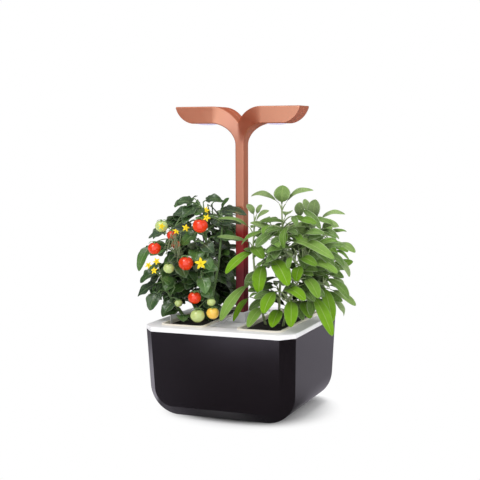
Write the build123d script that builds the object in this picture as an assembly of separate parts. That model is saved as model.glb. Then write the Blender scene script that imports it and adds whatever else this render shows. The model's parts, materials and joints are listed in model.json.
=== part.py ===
from build123d import *
from math import cos, radians, sin, tan
import os

# Countertop hydroponic garden. Millimetres, +Z up, front towards -Y.
# The origin is on the surface it stands on, under the middle of the base.

# --- Base housing -----------------------------------------------------------
base_width = 210.0  # across the rim
base_depth = 210.0
rim_z = 117.0  # top edge of the housing
foot_height = 2.0  # daylight under the housing
side_draft = 2.0  # degrees, left and right walls
face_draft = 4.0  # degrees, front and back walls
corner_radius = 40.0  # the round from side wall to underside
facet_x = 15.7  # corner facet, measured along the front face
facet_y = 19.3  # corner facet, measured along the side
housing_wall = 2.5
foot_radius = 8.0
foot_recess = 0.6
foot_play = 0.1
foot_bevel = 0.6
foot_x = 48.0
foot_y = 60.0

# --- Water tank -------------------------------------------------------------
tank_gap = 0.6  # between tank and housing
tank_wall = 1.8
tank_below_rim = 5.5
tank_lip_width = 0.5
tank_lip_height = 3.0

# --- Deck -------------------------------------------------------------------
deck_side = 6.0  # height of the white edge band
deck_plate = 3.0
deck_edge_wall = 3.4
deck_edge_bevel = 0.8
skirt_depth = 5.0
skirt_wall = 1.6
skirt_gap = 0.4
slot_length = 168.0
slot_width = 59.0
slot_x = 54.0  # middle of each slot from the centre line
slot_y = -2.0
slot_radius = 8.0
slot_collar_wall = 1.6
slot_collar_depth = 8.0
bridge_half_width = 19.5  # drip channel between the slots
bridge_depth = 3.0
bridge_front = -76.0
bridge_back = 85.0
bridge_radius = 6.0
fill_radius = 9.0
fill_y = 70.0
fill_flare = 1.5

# --- Mast socket ------------------------------------------------------------
lamp_y = -4.5  # middle plane of the mast and the arms
mast_width = 12.4
mast_depth = 17.0
mast_bevel = 1.0
mast_fit = 0.25  # all round the mast in its socket
pedestal_width = 18.0
pedestal_front = 12.0  # in front of the lamp plane
pedestal_rear = 15.0
pedestal_height = 14.0
pedestal_round = 1.5
pedestal_bevel = 0.6
well_wall = 1.6
well_depth = 31.0  # below the bridge
well_floor = 2.5
well_gap = 0.2
socket_screw_x = 5.6
socket_screw_inset = 2.1  # from the pedestal's rear face
socket_screw_radius = 1.0
socket_screw_length = 9.0
screw_play = 0.05
screw_tip_gap = 1.0  # past the end of a screw in its blind hole
socket_screw_head_radius = 2.0
socket_screw_head_height = 1.4

# --- Level gauge ------------------------------------------------------------
gauge_x = 14.6
gauge_y = -4.0
gauge_knob_radius = 4.4
gauge_knob_height = 9.0
gauge_knob_bevel = 1.4
gauge_knob_socket = 5.0  # how far the stem goes in
float_stem_radius = 1.8
float_stem_play = 0.08
float_guide_wall = 1.6
float_guide_length = 12.0
float_radius = 14.0
float_height = 13.0
float_bevel = 2.5
float_low_z = 20.0
float_rise = 25.0

# --- Grow inserts -----------------------------------------------------------
basket_play = 0.35  # between basket and slot
basket_wall = 1.3
basket_depth = 44.0
basket_draft = 3.0
basket_lip_width = 2.2
basket_lip_height = 2.0
basket_slot_width = 3.0
basket_slot_height = 22.0
basket_slot_pitch = 20.0
basket_slot_count = 7
basket_slot_above_floor = 8.0
medium_below_lip = 5.0
medium_gap = 0.3
wick_width = 20.0
wick_thickness = 2.4
wick_end_z = 12.0
wick_play = 0.3
wick_edge_radius = 1.1
marker_width = 6.0
marker_thickness = 0.8
marker_above_lip = 8.0
marker_below_lip = 14.0
marker_top_radius = 1.8
marker_y = -60.0

# --- Lamp: a mast that splits into two arms ---------------------------------
arm_reach = 88.2  # tip of each arm from the centre line
arm_top_z = 411.0
arm_thickness = 22.7
bend_inner_radius = 28.8
bend_thinning = 9.0  # how much thinner an arm is at its root, which deepens the fork
arm_root_half_depth = 8.5
arm_wide_half_depth = 21.0
arm_tip_half_depth = 19.5
nose_start = 24.0  # how far back from the tip the rounded nose begins
nose_top = 2.0  # blunt edge left above the nose
nose_bulge_back = 10.5  # middle of the nose's arc, from the tip
nose_bulge_rise = 0.275  # the same, as a share of the nose's height
lamp_wall = 2.0
seam_width = 1.4  # groove round the casing where its shells part
seam_depth = 0.8
rest_setback = 0.3  # back edge of the control board's shelf, in front of the seam
lens_end_gap = 3.8  # flat underside left at each end of the lens
lens_depth = 24.0
lens_proud = 1.8  # below the arm's underside
lens_fit = 0.2
lens_flange = 2.0
lens_flange_thickness = 1.5
board_past_lens = 3.5  # at each end of the lens
board_depth = 26.0
board_thickness = 1.6
spreader_past_board = 2.0
spreader_thickness = 2.0
spreader_gap = 0.2
ledge_thickness = 2.0
ledge_inset = 3.0  # middle of each ledge, in from the spreader's end
ledge_bite = 2.0  # how far a ledge reaches under the spreader
chip_size = 3.5
chip_height = 0.8
chip_columns = 3
chip_rows = 3
wire_radius = 1.1
wire_sides = 6
wire_spacing = 3.2
wire_bite = 4.0  # length soldered to the LED board
arm_screw_before_bend = 3.0
arm_screw_before_tip = 12.0
arm_screw_below_top = 8.5
foot_screw_z = 107.0
boss_radius = 2.6
shell_screw_radius = 1.1
shell_screw_bite = 6.0  # depth in the front shell
shell_screw_head_radius = 2.1
shell_screw_head_height = 1.4
shell_screw_sink = 0.4  # head below the rear surface
control_board_width = 7.6
control_board_bottom_z = 152.0
control_board_height = 62.0
jack_z = 145.0
jack_body_width = 8.0
jack_body_height = 9.0
jack_body_depth = 8.0
jack_barrel_radius = 3.9
jack_bore_radius = 3.1
jack_bore_depth = 8.5
jack_pin_radius = 1.0
jack_pin_recess = 1.5
jack_fit = 0.1
button_z = 172.0
button_radius = 3.4
button_hole_play = 0.3
button_proud = 1.4
button_bevel = 0.4
button_flange_radius = 3.95
button_flange_thickness = 1.0
button_stem_radius = 1.2
button_travel = 0.8
switch_size = 6.0
switch_play = 0.3

# --- Plants: places are points in the frame, chosen by hand ------------------
leaf_thickness = 1.0
leaf_shoulders = ((0.3, 0.92), (0.66, 0.88))  # share of the length, share of the half width
leaf_facing = (0.15, -0.55, 0.8)  # the way the upper sides look
stalk_radius = 1.0
stalk_root = 0.7  # share of the stem's radius where a stalk begins
bar_overlap = 0.3  # share of the radius that each bar runs on
root_z = 112.0  # where the stems start, inside the medium
tomato_stem_radius = 2.3
sage_stem_radius = 1.8
tomato_stem_ribs = 6
sage_stem_ribs = 4
flower_radius = 6.5
flower_thickness = 1.0
flower_notch = 0.42  # inner corners of the star, as a share of its radius
fruit_stalk_bite = 1.0
flower_facing = (0.35, -0.9, 0.25)
tomato_stem_lines = [
    [(-50, -8, root_z), (-47, -22, 170), (-42, -30, 225), (-50, -18, 270)],
    [(-60, 0, root_z), (-76, -22, 165), (-88, -30, 215), (-90, -26, 248)],
    [(-44, -16, root_z), (-30, -40, 150), (-22, -36, 200), (-20, -24, 258)],
    [(-58, 14, root_z), (-66, 34, 175), (-62, 40, 240)],
    [(-66, -26, root_z), (-84, -42, 145), (-98, -46, 172)],
]
# base of the blade, tip, width, rise of the midrib
tomato_leaf_places = [
    ((-116, -36, 228), (-134, -50, 188), 12, 6),
    ((-98, -56, 190), (-127, -60, 174), 12, 4),
    ((-100, -48, 174), (-133, -56, 154), 14, 5),
    ((-99, -54, 164), (-109, -68, 138), 15, 4),
    ((-74, -62, 170), (-88, -72, 183), 14, 2),
    ((-60, -22, 280), (-86, -28, 282), 14, 3),
    ((-54, -12, 282), (-30, -4, 285), 12, 4),
    ((-28, -8, 268), (-13, -18, 289), 9, 2),
    ((-29, -20, 270), (14, -22, 266), 16, 5),
    ((-33, -22, 252), (6, -22, 254), 17, 4),
    ((-38, -24, 236), (4, -24, 231), 16, 4),
    ((-44, -48, 244), (-66, -58, 226), 18, 3),
    ((-48, -44, 222), (-44, -62, 206), 18, 3),
    ((-76, -50, 204), (-56, -66, 184), 16, 4),
    ((-36, -60, 190), (-8, -70, 198), 14, 4),
    ((-34, -46, 176), (-26, -62, 166), 15, 3),
    ((-76, -50, 152), (-88, -72, 132), 14, 4),
    ((-58, -62, 134), (-52, -84, 128), 14, 2),
    ((-24, -50, 150), (-12, -62, 134), 13, 3),
    ((-92, -34, 156), (-90, -52, 134), 13, 4),
    ((-104, -18, 246), (-122, -28, 230), 14, 4),
    ((-66, 44, 250), (-92, 62, 246), 22, 5),
    ((-60, 46, 236), (-34, 64, 228), 22, 5),
    ((-70, 42, 214), (-100, 56, 200), 24, 6),
    ((-62, 40, 196), (-34, 58, 182), 22, 5),
    ((-72, 36, 178), (-96, 58, 156), 22, 6),
    ((-60, 30, 156), (-40, 54, 138), 20, 5),
    ((-100, -14, 214), (-124, 4, 204), 20, 5),
    ((-88, -8, 184), (-116, 14, 170), 22, 6),
    ((-72, 4, 268), (-88, 22, 272), 18, 3),
    ((-40, 6, 262), (-26, 26, 262), 18, 3),
    ((-92, 4, 256), (-120, 10, 246), 20, 4),
    ((-84, 12, 238), (-114, 26, 226), 24, 4),
    ((-78, 34, 270), (-104, 44, 268), 20, 3),
    ((-80, 18, 206), (-112, 34, 192), 22, 5),
    ((-84, 14, 156), (-108, 32, 140), 20, 4),
    ((-44, 22, 236), (-24, 46, 228), 20, 4),
    ((-44, 14, 206), (-20, 32, 194), 20, 5),
    ((-46, 8, 172), (-24, 26, 160), 20, 5),
    ((-56, 24, 278), (-50, 48, 280), 18, 3),
]
# middle and radius
ripe_fruit = [
    (-33, -70, 255, 10.0),
    (-100, -70, 223, 8.7),
    (-53, -72, 205, 9.9),
    (-40, -74, 160, 8.7),
    (-80, -58, 240, 6.7),
    (-72, -62, 228, 6.0),
]
unripe_fruit = [
    (-93, -62, 252, 8.6),
    (-79, -70, 197, 7.4),
    (-67, -66, 150, 5.3),
    (-17, -72, 155, 5.8),
    (-34, -78, 137, 9.6),
    (-14, -74, 141, 8.4),
]
flower_places = [
    (-23, -72, 276),
    (-22, -74, 266),
    (-52, -74, 252),
    (-66, -74, 247),
    (-86, -76, 253),
    (-95, -74, 206),
    (-108, -72, 200),
    (-97, -78, 194),
    (-30, -76, 206),
]
sage_stem_lines = [
    [(42, -20, root_z), (33, -32, 165), (27, -32, 215), (28, -30, 264)],
    [(54, -8, root_z), (60, -20, 170), (63, -18, 225), (59, -10, 278)],
    [(64, -26, root_z), (82, -42, 158), (98, -40, 196)],
    [(68, 8, root_z), (90, 4, 175), (101, 4, 225), (97, 9, 258)],
    [(52, 30, root_z), (56, 44, 170), (60, 50, 232)],
    [(70, -6, root_z), (76, -8, 132), (108, -12, 165), (126, -4, 200), (127, -1, 230)],
]
sage_leaf_places = [
    ((60, -12, 282), (62, -16, 307), 20, 1),
    ((55, -8, 281), (13, -4, 291), 9, 9),
    ((64, -8, 281), (100, 0, 300), 9, 8),
    ((27, -31, 267), (19, -35, 282), 9, 1),
    ((30, -28, 268), (38, -26, 281), 8, 1),
    ((32, -36, 258), (54, -42, 274), 9, 3),
    ((78, 10, 262), (76, 14, 283), 12, 1),
    ((92, 14, 263), (80, 21, 287), 9, 1),
    ((98, 8, 261), (101, 6, 288), 16, 1),
    ((105, 10, 260), (138, 20, 267), 9, 6),
    ((104, 0, 229), (110, -4, 246), 13, 1),
    ((74, -30, 234), (148, -62, 216), 17, 12),
    ((106, -34, 206), (153, -66, 198), 17, 8),
    ((61, -50, 212), (94, -84, 182), 20, 7),
    ((46, -44, 206), (48, -66, 168), 18, 6),
    ((28, -42, 226), (54, -66, 214), 15, 4),
    ((100, -48, 206), (98, -64, 186), 14, 3),
    ((105, -46, 188), (131, -76, 168), 16, 6),
    ((79, -56, 172), (118, -88, 166), 16, 7),
    ((68, -60, 172), (63, -90, 146), 17, 5),
    ((72, -52, 148), (72, -84, 128), 16, 4),
    ((46, -44, 148), (40, -88, 127), 13, 5),
    ((86, -50, 160), (97, -82, 130), 17, 6),
    ((96, -34, 156), (114, -56, 138), 15, 4),
    ((110, -36, 166), (148, -70, 120), 15, 9),
    ((120, -18, 176), (138, -38, 132), 15, 7),
    ((124, 10, 152), (134, 26, 130), 13, 3),
    ((122, 0, 170), (155, 12, 147), 10, 5),
    ((126, -8, 188), (143, 2, 170), 9, 3),
    ((134, -8, 212), (152, -8, 188), 9, 4),
    ((130, 2, 230), (156, 6, 219), 10, 4),
    ((58, -24, 236), (24, -38, 257), 13, 6),
    ((70, -24, 248), (110, -26, 254), 8, 4),
    ((22, -32, 250), (-18, -48, 262), 8, 5),
    ((22, -34, 232), (-18, -50, 238), 8, 3),
    ((36, -44, 222), (6, -78, 193), 13, 7),
    ((26, -40, 178), (0, -82, 132), 13, 7),
    ((22, -34, 158), (12, -66, 130), 9, 5),
    ((54, 50, 234), (30, 66, 240), 16, 4),
    ((64, 54, 232), (88, 72, 236), 16, 4),
    ((58, 50, 214), (40, 74, 196), 18, 6),
    ((62, 50, 200), (90, 74, 186), 18, 6),
    ((54, 44, 178), (36, 70, 160), 17, 6),
    ((64, 42, 166), (92, 66, 146), 17, 6),
    ((96, 14, 216), (118, 38, 204), 16, 5),
    ((88, 14, 182), (110, 40, 164), 16, 5),
    ((60, 0, 262), (56, 28, 266), 14, 4),
    ((90, 16, 244), (70, 38, 250), 18, 5),
    ((68, 0, 246), (86, 20, 234), 18, 4),
    ((92, 14, 228), (72, 34, 222), 18, 5),
    ((68, -4, 222), (84, 16, 210), 18, 5),
    ((104, 16, 246), (124, 36, 250), 16, 5),
    ((52, 4, 240), (36, 26, 244), 18, 4),
    ((50, 0, 208), (32, 20, 200), 18, 5),
]

# --- Heights that follow ----------------------------------------------------
deck_top_z = rim_z + deck_side
bridge_z = deck_top_z - bridge_depth
lip_z = deck_top_z + basket_lip_height
pedestal_top_z = bridge_z + pedestal_height
well_bottom_z = bridge_z - well_depth
mast_foot_z = well_bottom_z + well_floor
arm_under_z = arm_top_z - arm_thickness
bend_z = arm_under_z - bend_inner_radius
bend_x = mast_width / 2 + bend_inner_radius
lens_middle = (bend_x + arm_reach - nose_start) / 2
lens_length = arm_reach - nose_start - bend_x - 2 * lens_end_gap
board_length = lens_length + 2 * board_past_lens
spreader_length = board_length + 2 * spreader_past_board
arm_screw_places = (bend_x - arm_screw_before_bend, arm_reach - arm_screw_before_tip)
tank_top_z = rim_z - tank_below_rim
inset_facet = 0.586  # how much a corner facet shrinks per millimetre of inset


def box(x, y, z):
    """Box between two limits on each axis."""
    corner = Location((x[0], y[0], z[0]))
    size = (x[1] - x[0], y[1] - y[0], z[1] - z[0])
    return corner * Box(*size, align=(Align.MIN, Align.MIN, Align.MIN))


def rod(radius, start, end):
    """Round bar between two points."""
    run = Vector(*end) - Vector(*start)
    return Plane(origin=start, z_dir=run) * Cylinder(
        radius, run.length, align=(Align.CENTER, Align.CENTER, Align.MIN)
    )


def joined(pieces):
    """Fuse a list of solids in one go."""
    pieces = list(pieces)
    return pieces[0].fuse(*pieces[1:]) if len(pieces) > 1 else pieces[0]


def mirrored(solid):
    """The same solid on the other side of the centre line."""
    return mirror(solid, about=Plane.YZ)


# --- Base -------------------------------------------------------------------
def tub(inset, low_z, high_z):
    """Solid tub: a round-cornered U seen from the front, its faces drafted and facetted."""
    half_x = base_width / 2 - inset - tan(radians(side_draft)) * (rim_z - high_z)
    half_y = base_depth / 2 - inset - tan(radians(face_draft)) * (rim_z - high_z)
    low_x = half_x - tan(radians(side_draft)) * (high_z - low_z)
    low_y = half_y - tan(radians(face_draft)) * (high_z - low_z)
    front = Plane.XZ * Polygon(
        (-low_x, low_z), (low_x, low_z), (half_x, high_z), (-half_x, high_z), align=None
    )
    front = fillet(front.vertices().group_by(Axis.Z)[0], corner_radius - inset)
    side = Plane.YZ * Polygon(
        (-low_y, low_z), (low_y, low_z), (half_y, high_z), (-half_y, high_z), align=None
    )
    body = extrude(front, half_y, both=True) & extrude(side, base_width, both=True)
    for which in (0, -1):
        face = body.faces().sort_by(Axis.Y)[which]
        edges = [edge for edge in face.edges() if edge.center().Z < high_z - 0.01]
        shrink = inset_facet * inset
        body = chamfer(edges, facet_x - shrink, facet_y - shrink, reference=face)
    return body


def outer_housing():
    body = tub(0, foot_height, rim_z)
    body -= tub(housing_wall, foot_height + housing_wall, rim_z)
    for place in foot_places():
        body -= place * Cylinder(
            foot_radius + foot_play, foot_recess, align=(Align.CENTER, Align.CENTER, Align.MIN)
        )
    return body


def foot_places():
    return [
        Location((x, y, foot_height)) for x in (-foot_x, foot_x) for y in (-foot_y, foot_y)
    ]


def rubber_feet():
    """Four pads pressed into shallow recesses in the underside."""
    height = foot_height + foot_recess
    pads = []
    for place in foot_places():
        pad = Location((place.position.X, place.position.Y, 0)) * Cylinder(
            foot_radius, height, align=(Align.CENTER, Align.CENTER, Align.MIN)
        )
        pads.append(chamfer(pad.edges().group_by(Axis.Z)[0], foot_bevel))
    return pads


def water_tank():
    """Inner tub that holds the water, thickened to a lip round its top edge."""
    skin = housing_wall + tank_gap
    low_z = foot_height + housing_wall
    body = tub(skin, low_z, tank_top_z)
    lip = tub(skin - tank_lip_width, low_z, tank_top_z)
    far = base_width
    body += lip & box((-far, far), (-far, far), (tank_top_z - tank_lip_height, tank_top_z))
    return body - tub(skin + tank_wall, low_z + tank_wall, tank_top_z)


# --- Deck -------------------------------------------------------------------
def deck_outline(inset):
    """The rim's eight-sided plan, drawn in by an even inset."""
    half_x = base_width / 2 - inset
    half_y = base_depth / 2 - inset
    cut_x = facet_x - inset_facet * inset
    cut_y = facet_y - inset_facet * inset
    corners = []
    for sx, sy in ((1, -1), (1, 1), (-1, 1), (-1, -1)):
        pair = [(sx * (half_x - cut_x), sy * half_y), (sx * half_x, sy * (half_y - cut_y))]
        corners += pair if sx * sy < 0 else pair[::-1]
    return Polygon(*corners, align=None)


def slot_outline(side, grow):
    """One slot's rounded rectangle, grown or shrunk all round."""
    outline = RectangleRounded(slot_width + 2 * grow, slot_length + 2 * grow, slot_radius + grow)
    return Pos(side * slot_x, slot_y) * outline


def bridge_outline():
    return Pos(0, (bridge_front + bridge_back) / 2) * RectangleRounded(
        2 * bridge_half_width, bridge_back - bridge_front, bridge_radius
    )


def prism(outline, low_z, high_z):
    return extrude(Pos(0, 0, low_z) * outline, high_z - low_z)


def well_outline(grow):
    return Pos(0, lamp_y) * Rectangle(
        mast_width + 2 * (mast_fit + well_wall + grow),
        mast_depth + 2 * (mast_fit + well_wall + grow),
    )


def socket_screw_places():
    y = lamp_y + pedestal_rear - socket_screw_inset
    return [(x, y) for x in (-socket_screw_x, socket_screw_x)]


def top_deck():
    """White deck: plate, edge band, locating skirt, slot collars and a sunk bridge."""
    plate_z = deck_top_z - deck_plate
    body = prism(deck_outline(0), rim_z, deck_top_z)
    body = chamfer(body.edges().group_by(Axis.Z)[-1], deck_edge_bevel)
    body -= prism(deck_outline(deck_edge_wall), rim_z, plate_z)
    skirt_inset = housing_wall + skirt_gap
    skirt = prism(deck_outline(skirt_inset), rim_z - skirt_depth, plate_z)
    skirt -= prism(deck_outline(skirt_inset + skirt_wall), rim_z - skirt_depth, plate_z)
    collar_z = deck_top_z - slot_collar_depth
    parts = [skirt]
    for side in (-1, 1):
        parts.append(prism(slot_outline(side, slot_collar_wall), collar_z, plate_z))
    parts.append(prism(offset(bridge_outline(), slot_collar_wall), bridge_z - deck_plate, plate_z))
    guide_top = bridge_z - deck_plate
    bore = float_stem_radius + float_stem_play
    parts.append(gauge_rod(bore + float_guide_wall, guide_top - float_guide_length, bridge_z))
    body = joined([body] + parts)
    body -= prism(bridge_outline(), bridge_z, deck_top_z)
    for side in (-1, 1):
        body -= prism(slot_outline(side, 0), collar_z, deck_top_z)
    body -= prism(well_outline(well_gap), guide_top, bridge_z)
    for x, y in socket_screw_places():
        body -= rod(socket_screw_radius + screw_play, (x, y, guide_top), (x, y, bridge_z))
    body -= gauge_rod(bore, guide_top - float_guide_length, bridge_z)
    upright = (Align.CENTER, Align.CENTER, Align.MAX)
    flare = Cone(fill_radius, fill_radius + fill_flare, fill_flare, align=upright)
    body -= Location((0, fill_y, bridge_z)) * flare
    body -= rod(fill_radius, (0, fill_y, guide_top), (0, fill_y, bridge_z))
    return body


def mast_socket():
    """Raised pedestal on the bridge with the well that the mast drops into."""
    middle = lamp_y + (pedestal_rear - pedestal_front) / 2
    foot = Pos(0, middle) * Rectangle(pedestal_width, pedestal_front + pedestal_rear)
    block = prism(foot, bridge_z, pedestal_top_z)
    block = fillet(block.edges().filter_by(Axis.Z), pedestal_round)
    block = chamfer(block.edges().group_by(Axis.Z)[-1], pedestal_bevel)
    well = prism(well_outline(0), well_bottom_z, bridge_z)
    body = block + well
    pocket = Pos(0, lamp_y) * Rectangle(mast_width + 2 * mast_fit, mast_depth + 2 * mast_fit)
    body -= prism(pocket, mast_foot_z, pedestal_top_z)
    depth = socket_screw_length - deck_plate
    for x, y in socket_screw_places():
        end = (x, y, bridge_z + depth + screw_tip_gap)
        body -= rod(socket_screw_radius + screw_play, (x, y, bridge_z), end)
    return body


def socket_screws():
    """Two screws that hold the pedestal down from below the bridge."""
    under = bridge_z - deck_plate
    screws = []
    for x, y in socket_screw_places():
        shank = rod(socket_screw_radius, (x, y, under), (x, y, under + socket_screw_length))
        head = rod(socket_screw_head_radius, (x, y, under - socket_screw_head_height), (x, y, under))
        screws.append(shank + head)
    return screws


# --- Level gauge ------------------------------------------------------------
def gauge_rod(radius, low_z, high_z):
    return rod(radius, (gauge_x, gauge_y, low_z), (gauge_x, gauge_y, high_z))


def gauge_knob():
    """Grey cap that shows the water level beside the mast."""
    knob = gauge_rod(gauge_knob_radius, bridge_z, bridge_z + gauge_knob_height)
    knob = chamfer(knob.edges().group_by(Axis.Z)[-1], gauge_knob_bevel)
    return knob - gauge_rod(float_stem_radius, bridge_z, bridge_z + gauge_knob_socket)


def float_stem():
    """Rod from half way into the float to the cap's socket."""
    return gauge_rod(
        float_stem_radius, float_low_z + float_height / 2, bridge_z + gauge_knob_socket
    )


def level_float():
    """Buoyant puck on the lower end of the stem."""
    top_z = float_low_z + float_height
    puck = gauge_rod(float_radius, float_low_z, top_z)
    puck = chamfer(puck.edges().filter_by(GeomType.CIRCLE), float_bevel)
    return puck - gauge_rod(float_stem_radius, float_low_z + float_height / 2, top_z)


# --- Grow inserts -----------------------------------------------------------
def basket(side):
    """Tapered tray with root slots and a slit for the wick, hung by its lip from the deck."""
    floor_z = lip_z - basket_depth
    outer_plan = slot_outline(side, -basket_play)
    inner_plan = slot_outline(side, -basket_play - basket_wall)
    body = extrude(Pos(0, 0, lip_z) * outer_plan, -basket_depth, taper=basket_draft)
    lip = prism(slot_outline(side, basket_lip_width - basket_play), deck_top_z, lip_z)
    body += lip
    hollow = basket_depth - basket_wall
    body -= extrude(Pos(0, 0, lip_z) * inner_plan, -hollow, taper=basket_draft)
    reach = slot_width / 2 + basket_lip_width
    low = floor_z + basket_slot_above_floor
    for index in range(basket_slot_count):
        y = slot_y + (index - (basket_slot_count - 1) / 2) * basket_slot_pitch
        body -= box(
            (side * slot_x - reach, side * slot_x + reach),
            (y - basket_slot_width / 2, y + basket_slot_width / 2),
            (low, low + basket_slot_height),
        )
    body -= box(*wick_limits(side, wick_play), (floor_z, floor_z + basket_wall))
    return body


def wick_limits(side, grow):
    x = side * slot_x
    half_x = wick_thickness / 2 + grow
    half_y = wick_width / 2 + grow
    return (x - half_x, x + half_x), (slot_y - half_y, slot_y + half_y)


def medium(side):
    """Block of growing medium that fills the basket to just below its lip. The left one
    makes room for the marker."""
    top_z = lip_z - medium_below_lip
    floor_z = lip_z - basket_depth + basket_wall
    lean = tan(radians(basket_draft)) * medium_below_lip
    inset = basket_play + basket_wall + medium_gap + lean
    block = extrude(
        Pos(0, 0, top_z) * slot_outline(side, -inset), -(top_z - floor_z), taper=basket_draft
    )
    return block - plant_marker() if side < 0 else block


def wick(side):
    """Flat felt strip that draws water up into the medium."""
    floor_z = lip_z - basket_depth + basket_wall
    strip = box(*wick_limits(side, 0), (wick_end_z, floor_z))
    return fillet(strip.edges().filter_by(Axis.Z), wick_edge_radius)


def plant_marker():
    """White tab pushed down between the left basket's wall and its medium."""
    lean = tan(radians(basket_draft)) * marker_below_lip
    wall_x = -slot_x - slot_width / 2 + basket_play + basket_wall
    x = wall_x + lean
    tab = box(
        (x, x + marker_thickness),
        (marker_y - marker_width / 2, marker_y + marker_width / 2),
        (lip_z - marker_below_lip, lip_z + marker_above_lip),
    )
    top = tab.edges().filter_by(Axis.X).group_by(Axis.Z)[-1]
    return fillet(top, marker_top_radius)


# --- Lamp -------------------------------------------------------------------
def bend_frame(angle, centre_radius):
    """Plane across the right arm's bend, a given angle up from the mast."""
    turn = radians(angle)
    at = (bend_x - centre_radius * cos(turn), lamp_y, bend_z + centre_radius * sin(turn))
    return Plane(origin=at, x_dir=(0, 1, 0), z_dir=(sin(turn), 0, cos(turn)))


def right_arm(inset):
    """Right arm from the mast round its bend to the tip, flaring like a leaf and thickening
    towards its straight part."""
    sections = []
    steps = 6
    for step in range(steps + 1):
        share = step / steps
        ease = share * share * (3 - 2 * share)
        half = arm_root_half_depth + (arm_wide_half_depth - arm_root_half_depth) * ease
        angle = 90 * share
        thickness = arm_thickness - bend_thinning * cos(radians(angle)) ** 2
        outline = bevelled(2 * (half - inset), thickness - 2 * inset, inset)
        sections.append(bend_frame(angle, bend_inner_radius + thickness / 2) * outline)
    bend = loft(sections)
    mid_z = arm_under_z + arm_thickness / 2
    ends = []
    for x in (bend_x, arm_reach):
        plane = Plane(origin=(x, lamp_y, mid_z), x_dir=(0, 1, 0), z_dir=(1, 0, 0))
        outline = bevelled(2 * (arm_half_depth(x) - inset), arm_thickness - 2 * inset, inset)
        ends.append(plane * outline)
    straight = loft(ends, ruled=True)
    return bend + straight


def arm_half_depth(x):
    """Half the arm's front-to-back depth along its straight part."""
    share = max(0.0, (x - bend_x) / (arm_reach - bend_x))
    return arm_wide_half_depth + (arm_tip_half_depth - arm_wide_half_depth) * share


def bevelled(width, height, inset):
    """Rectangle with the lamp's small edge bevel, square inside the wall."""
    outline = Rectangle(width, height)
    bevel = mast_bevel - inset_facet * inset
    return chamfer(outline.vertices(), bevel) if bevel > 0 else outline


def nose_cutter(inset):
    """Everything inside the rounded nose, seen from the front."""
    reach = arm_reach - inset
    low_z = bend_z - bend_inner_radius
    over_z = arm_top_z + arm_thickness
    blunt_z = arm_top_z - nose_top
    start = (reach - nose_start, arm_under_z + inset)
    tip = (reach, blunt_z)
    rise = (blunt_z - arm_under_z) * nose_bulge_rise
    bulge = (reach - nose_bulge_back, arm_under_z + inset + rise)
    edge = Polyline((0, low_z), (reach - nose_start, low_z), start)
    edge += ThreePointArc(start, bulge, tip)
    edge += Polyline(tip, (reach, over_z), (0, over_z), (0, low_z))
    profile = Plane.XZ * make_face(edge)
    return extrude(profile, base_depth / 2, both=True)


def lamp_form(inset, foot_z):
    """Mast and both arms as one closed form, drawn in by an even inset."""
    arm = right_arm(inset) & nose_cutter(inset)
    plan = Pos(0, lamp_y) * bevelled(mast_width - 2 * inset, mast_depth - 2 * inset, inset)
    side = arm + prism(plan, foot_z, bend_z)
    side &= box((0, 2 * arm_reach), (-base_depth, base_depth), (0, 2 * arm_top_z))
    return side + mirrored(side)


def lens(side):
    """Diffuser held between the shells, with a shallow dome under the arm."""
    low = side * lens_middle - lens_length / 2 + lens_fit
    high = side * lens_middle + lens_length / 2 - lens_fit
    half = lens_depth / 2 - lens_fit
    seat_z = arm_under_z + lamp_wall
    dome = ThreePointArc(
        (low, arm_under_z), ((low + high) / 2, arm_under_z - lens_proud), (high, arm_under_z)
    )
    sides = Polyline((high, arm_under_z), (high, seat_z), (low, seat_z), (low, arm_under_z))
    window = make_face(dome + sides)
    body = Pos(0, lamp_y, 0) * extrude(Plane.XZ * window, half, both=True)
    flange = box(
        (low - lens_flange, high + lens_flange),
        (lamp_y - half - lens_flange, lamp_y + half + lens_flange),
        (seat_z, seat_z + lens_flange_thickness),
    )
    return body + flange


def board_z():
    """Underside of the LED boards, level with the top of the wires below them."""
    return bend_z + bend_x - wire_spacing / 2 + wire_radius


def board_start():
    return lens_middle - board_length / 2


def plate(side, length, depth, low_z, thickness):
    """Flat plate centred over one lens."""
    middle = side * lens_middle
    return box(
        (middle - length / 2, middle + length / 2),
        (lamp_y - depth / 2, lamp_y + depth / 2),
        (low_z, low_z + thickness),
    )


def led_board(side):
    return plate(side, board_length, board_depth, board_z(), board_thickness)


def spreader_half_depth():
    reach = lens_middle + spreader_length / 2
    return arm_half_depth(reach) - lamp_wall - spreader_gap


def heat_spreader(side):
    """Aluminium plate on the back of the LED board, resting on the shells' ledges."""
    top_z = board_z() + board_thickness
    return plate(side, spreader_length, 2 * spreader_half_depth(), top_z, spreader_thickness)


def led_chips():
    """A grid of chips over each lens."""
    pitch_x = lens_length / chip_columns
    pitch_y = lens_depth / chip_rows
    chips = []
    for side in (-1, 1):
        for column in range(chip_columns):
            for row in range(chip_rows):
                x = side * lens_middle + (column - (chip_columns - 1) / 2) * pitch_x
                y = lamp_y + (row - (chip_rows - 1) / 2) * pitch_y
                chips.append(
                    box(
                        (x - chip_size / 2, x + chip_size / 2),
                        (y - chip_size / 2, y + chip_size / 2),
                        (board_z() - chip_height, board_z()),
                    )
                )
    return chips


def ledges(outer):
    """Ribs on the side walls that carry the heat spreaders."""
    low_z = arm_under_z + lamp_wall
    top_z = board_z() + board_thickness
    ribs = []
    for side in (-1, 1):
        for end in (-1, 1):
            x = side * lens_middle + end * (spreader_length / 2 - ledge_inset)
            for face in (-1, 1):
                inner_y = lamp_y + face * (spreader_half_depth() - ledge_bite)
                y = sorted((inner_y, face * base_depth))
                ribs.append(box((x - ledge_thickness / 2, x + ledge_thickness / 2), y, (low_z, top_z)))
    return [rib & outer for rib in ribs]


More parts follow.
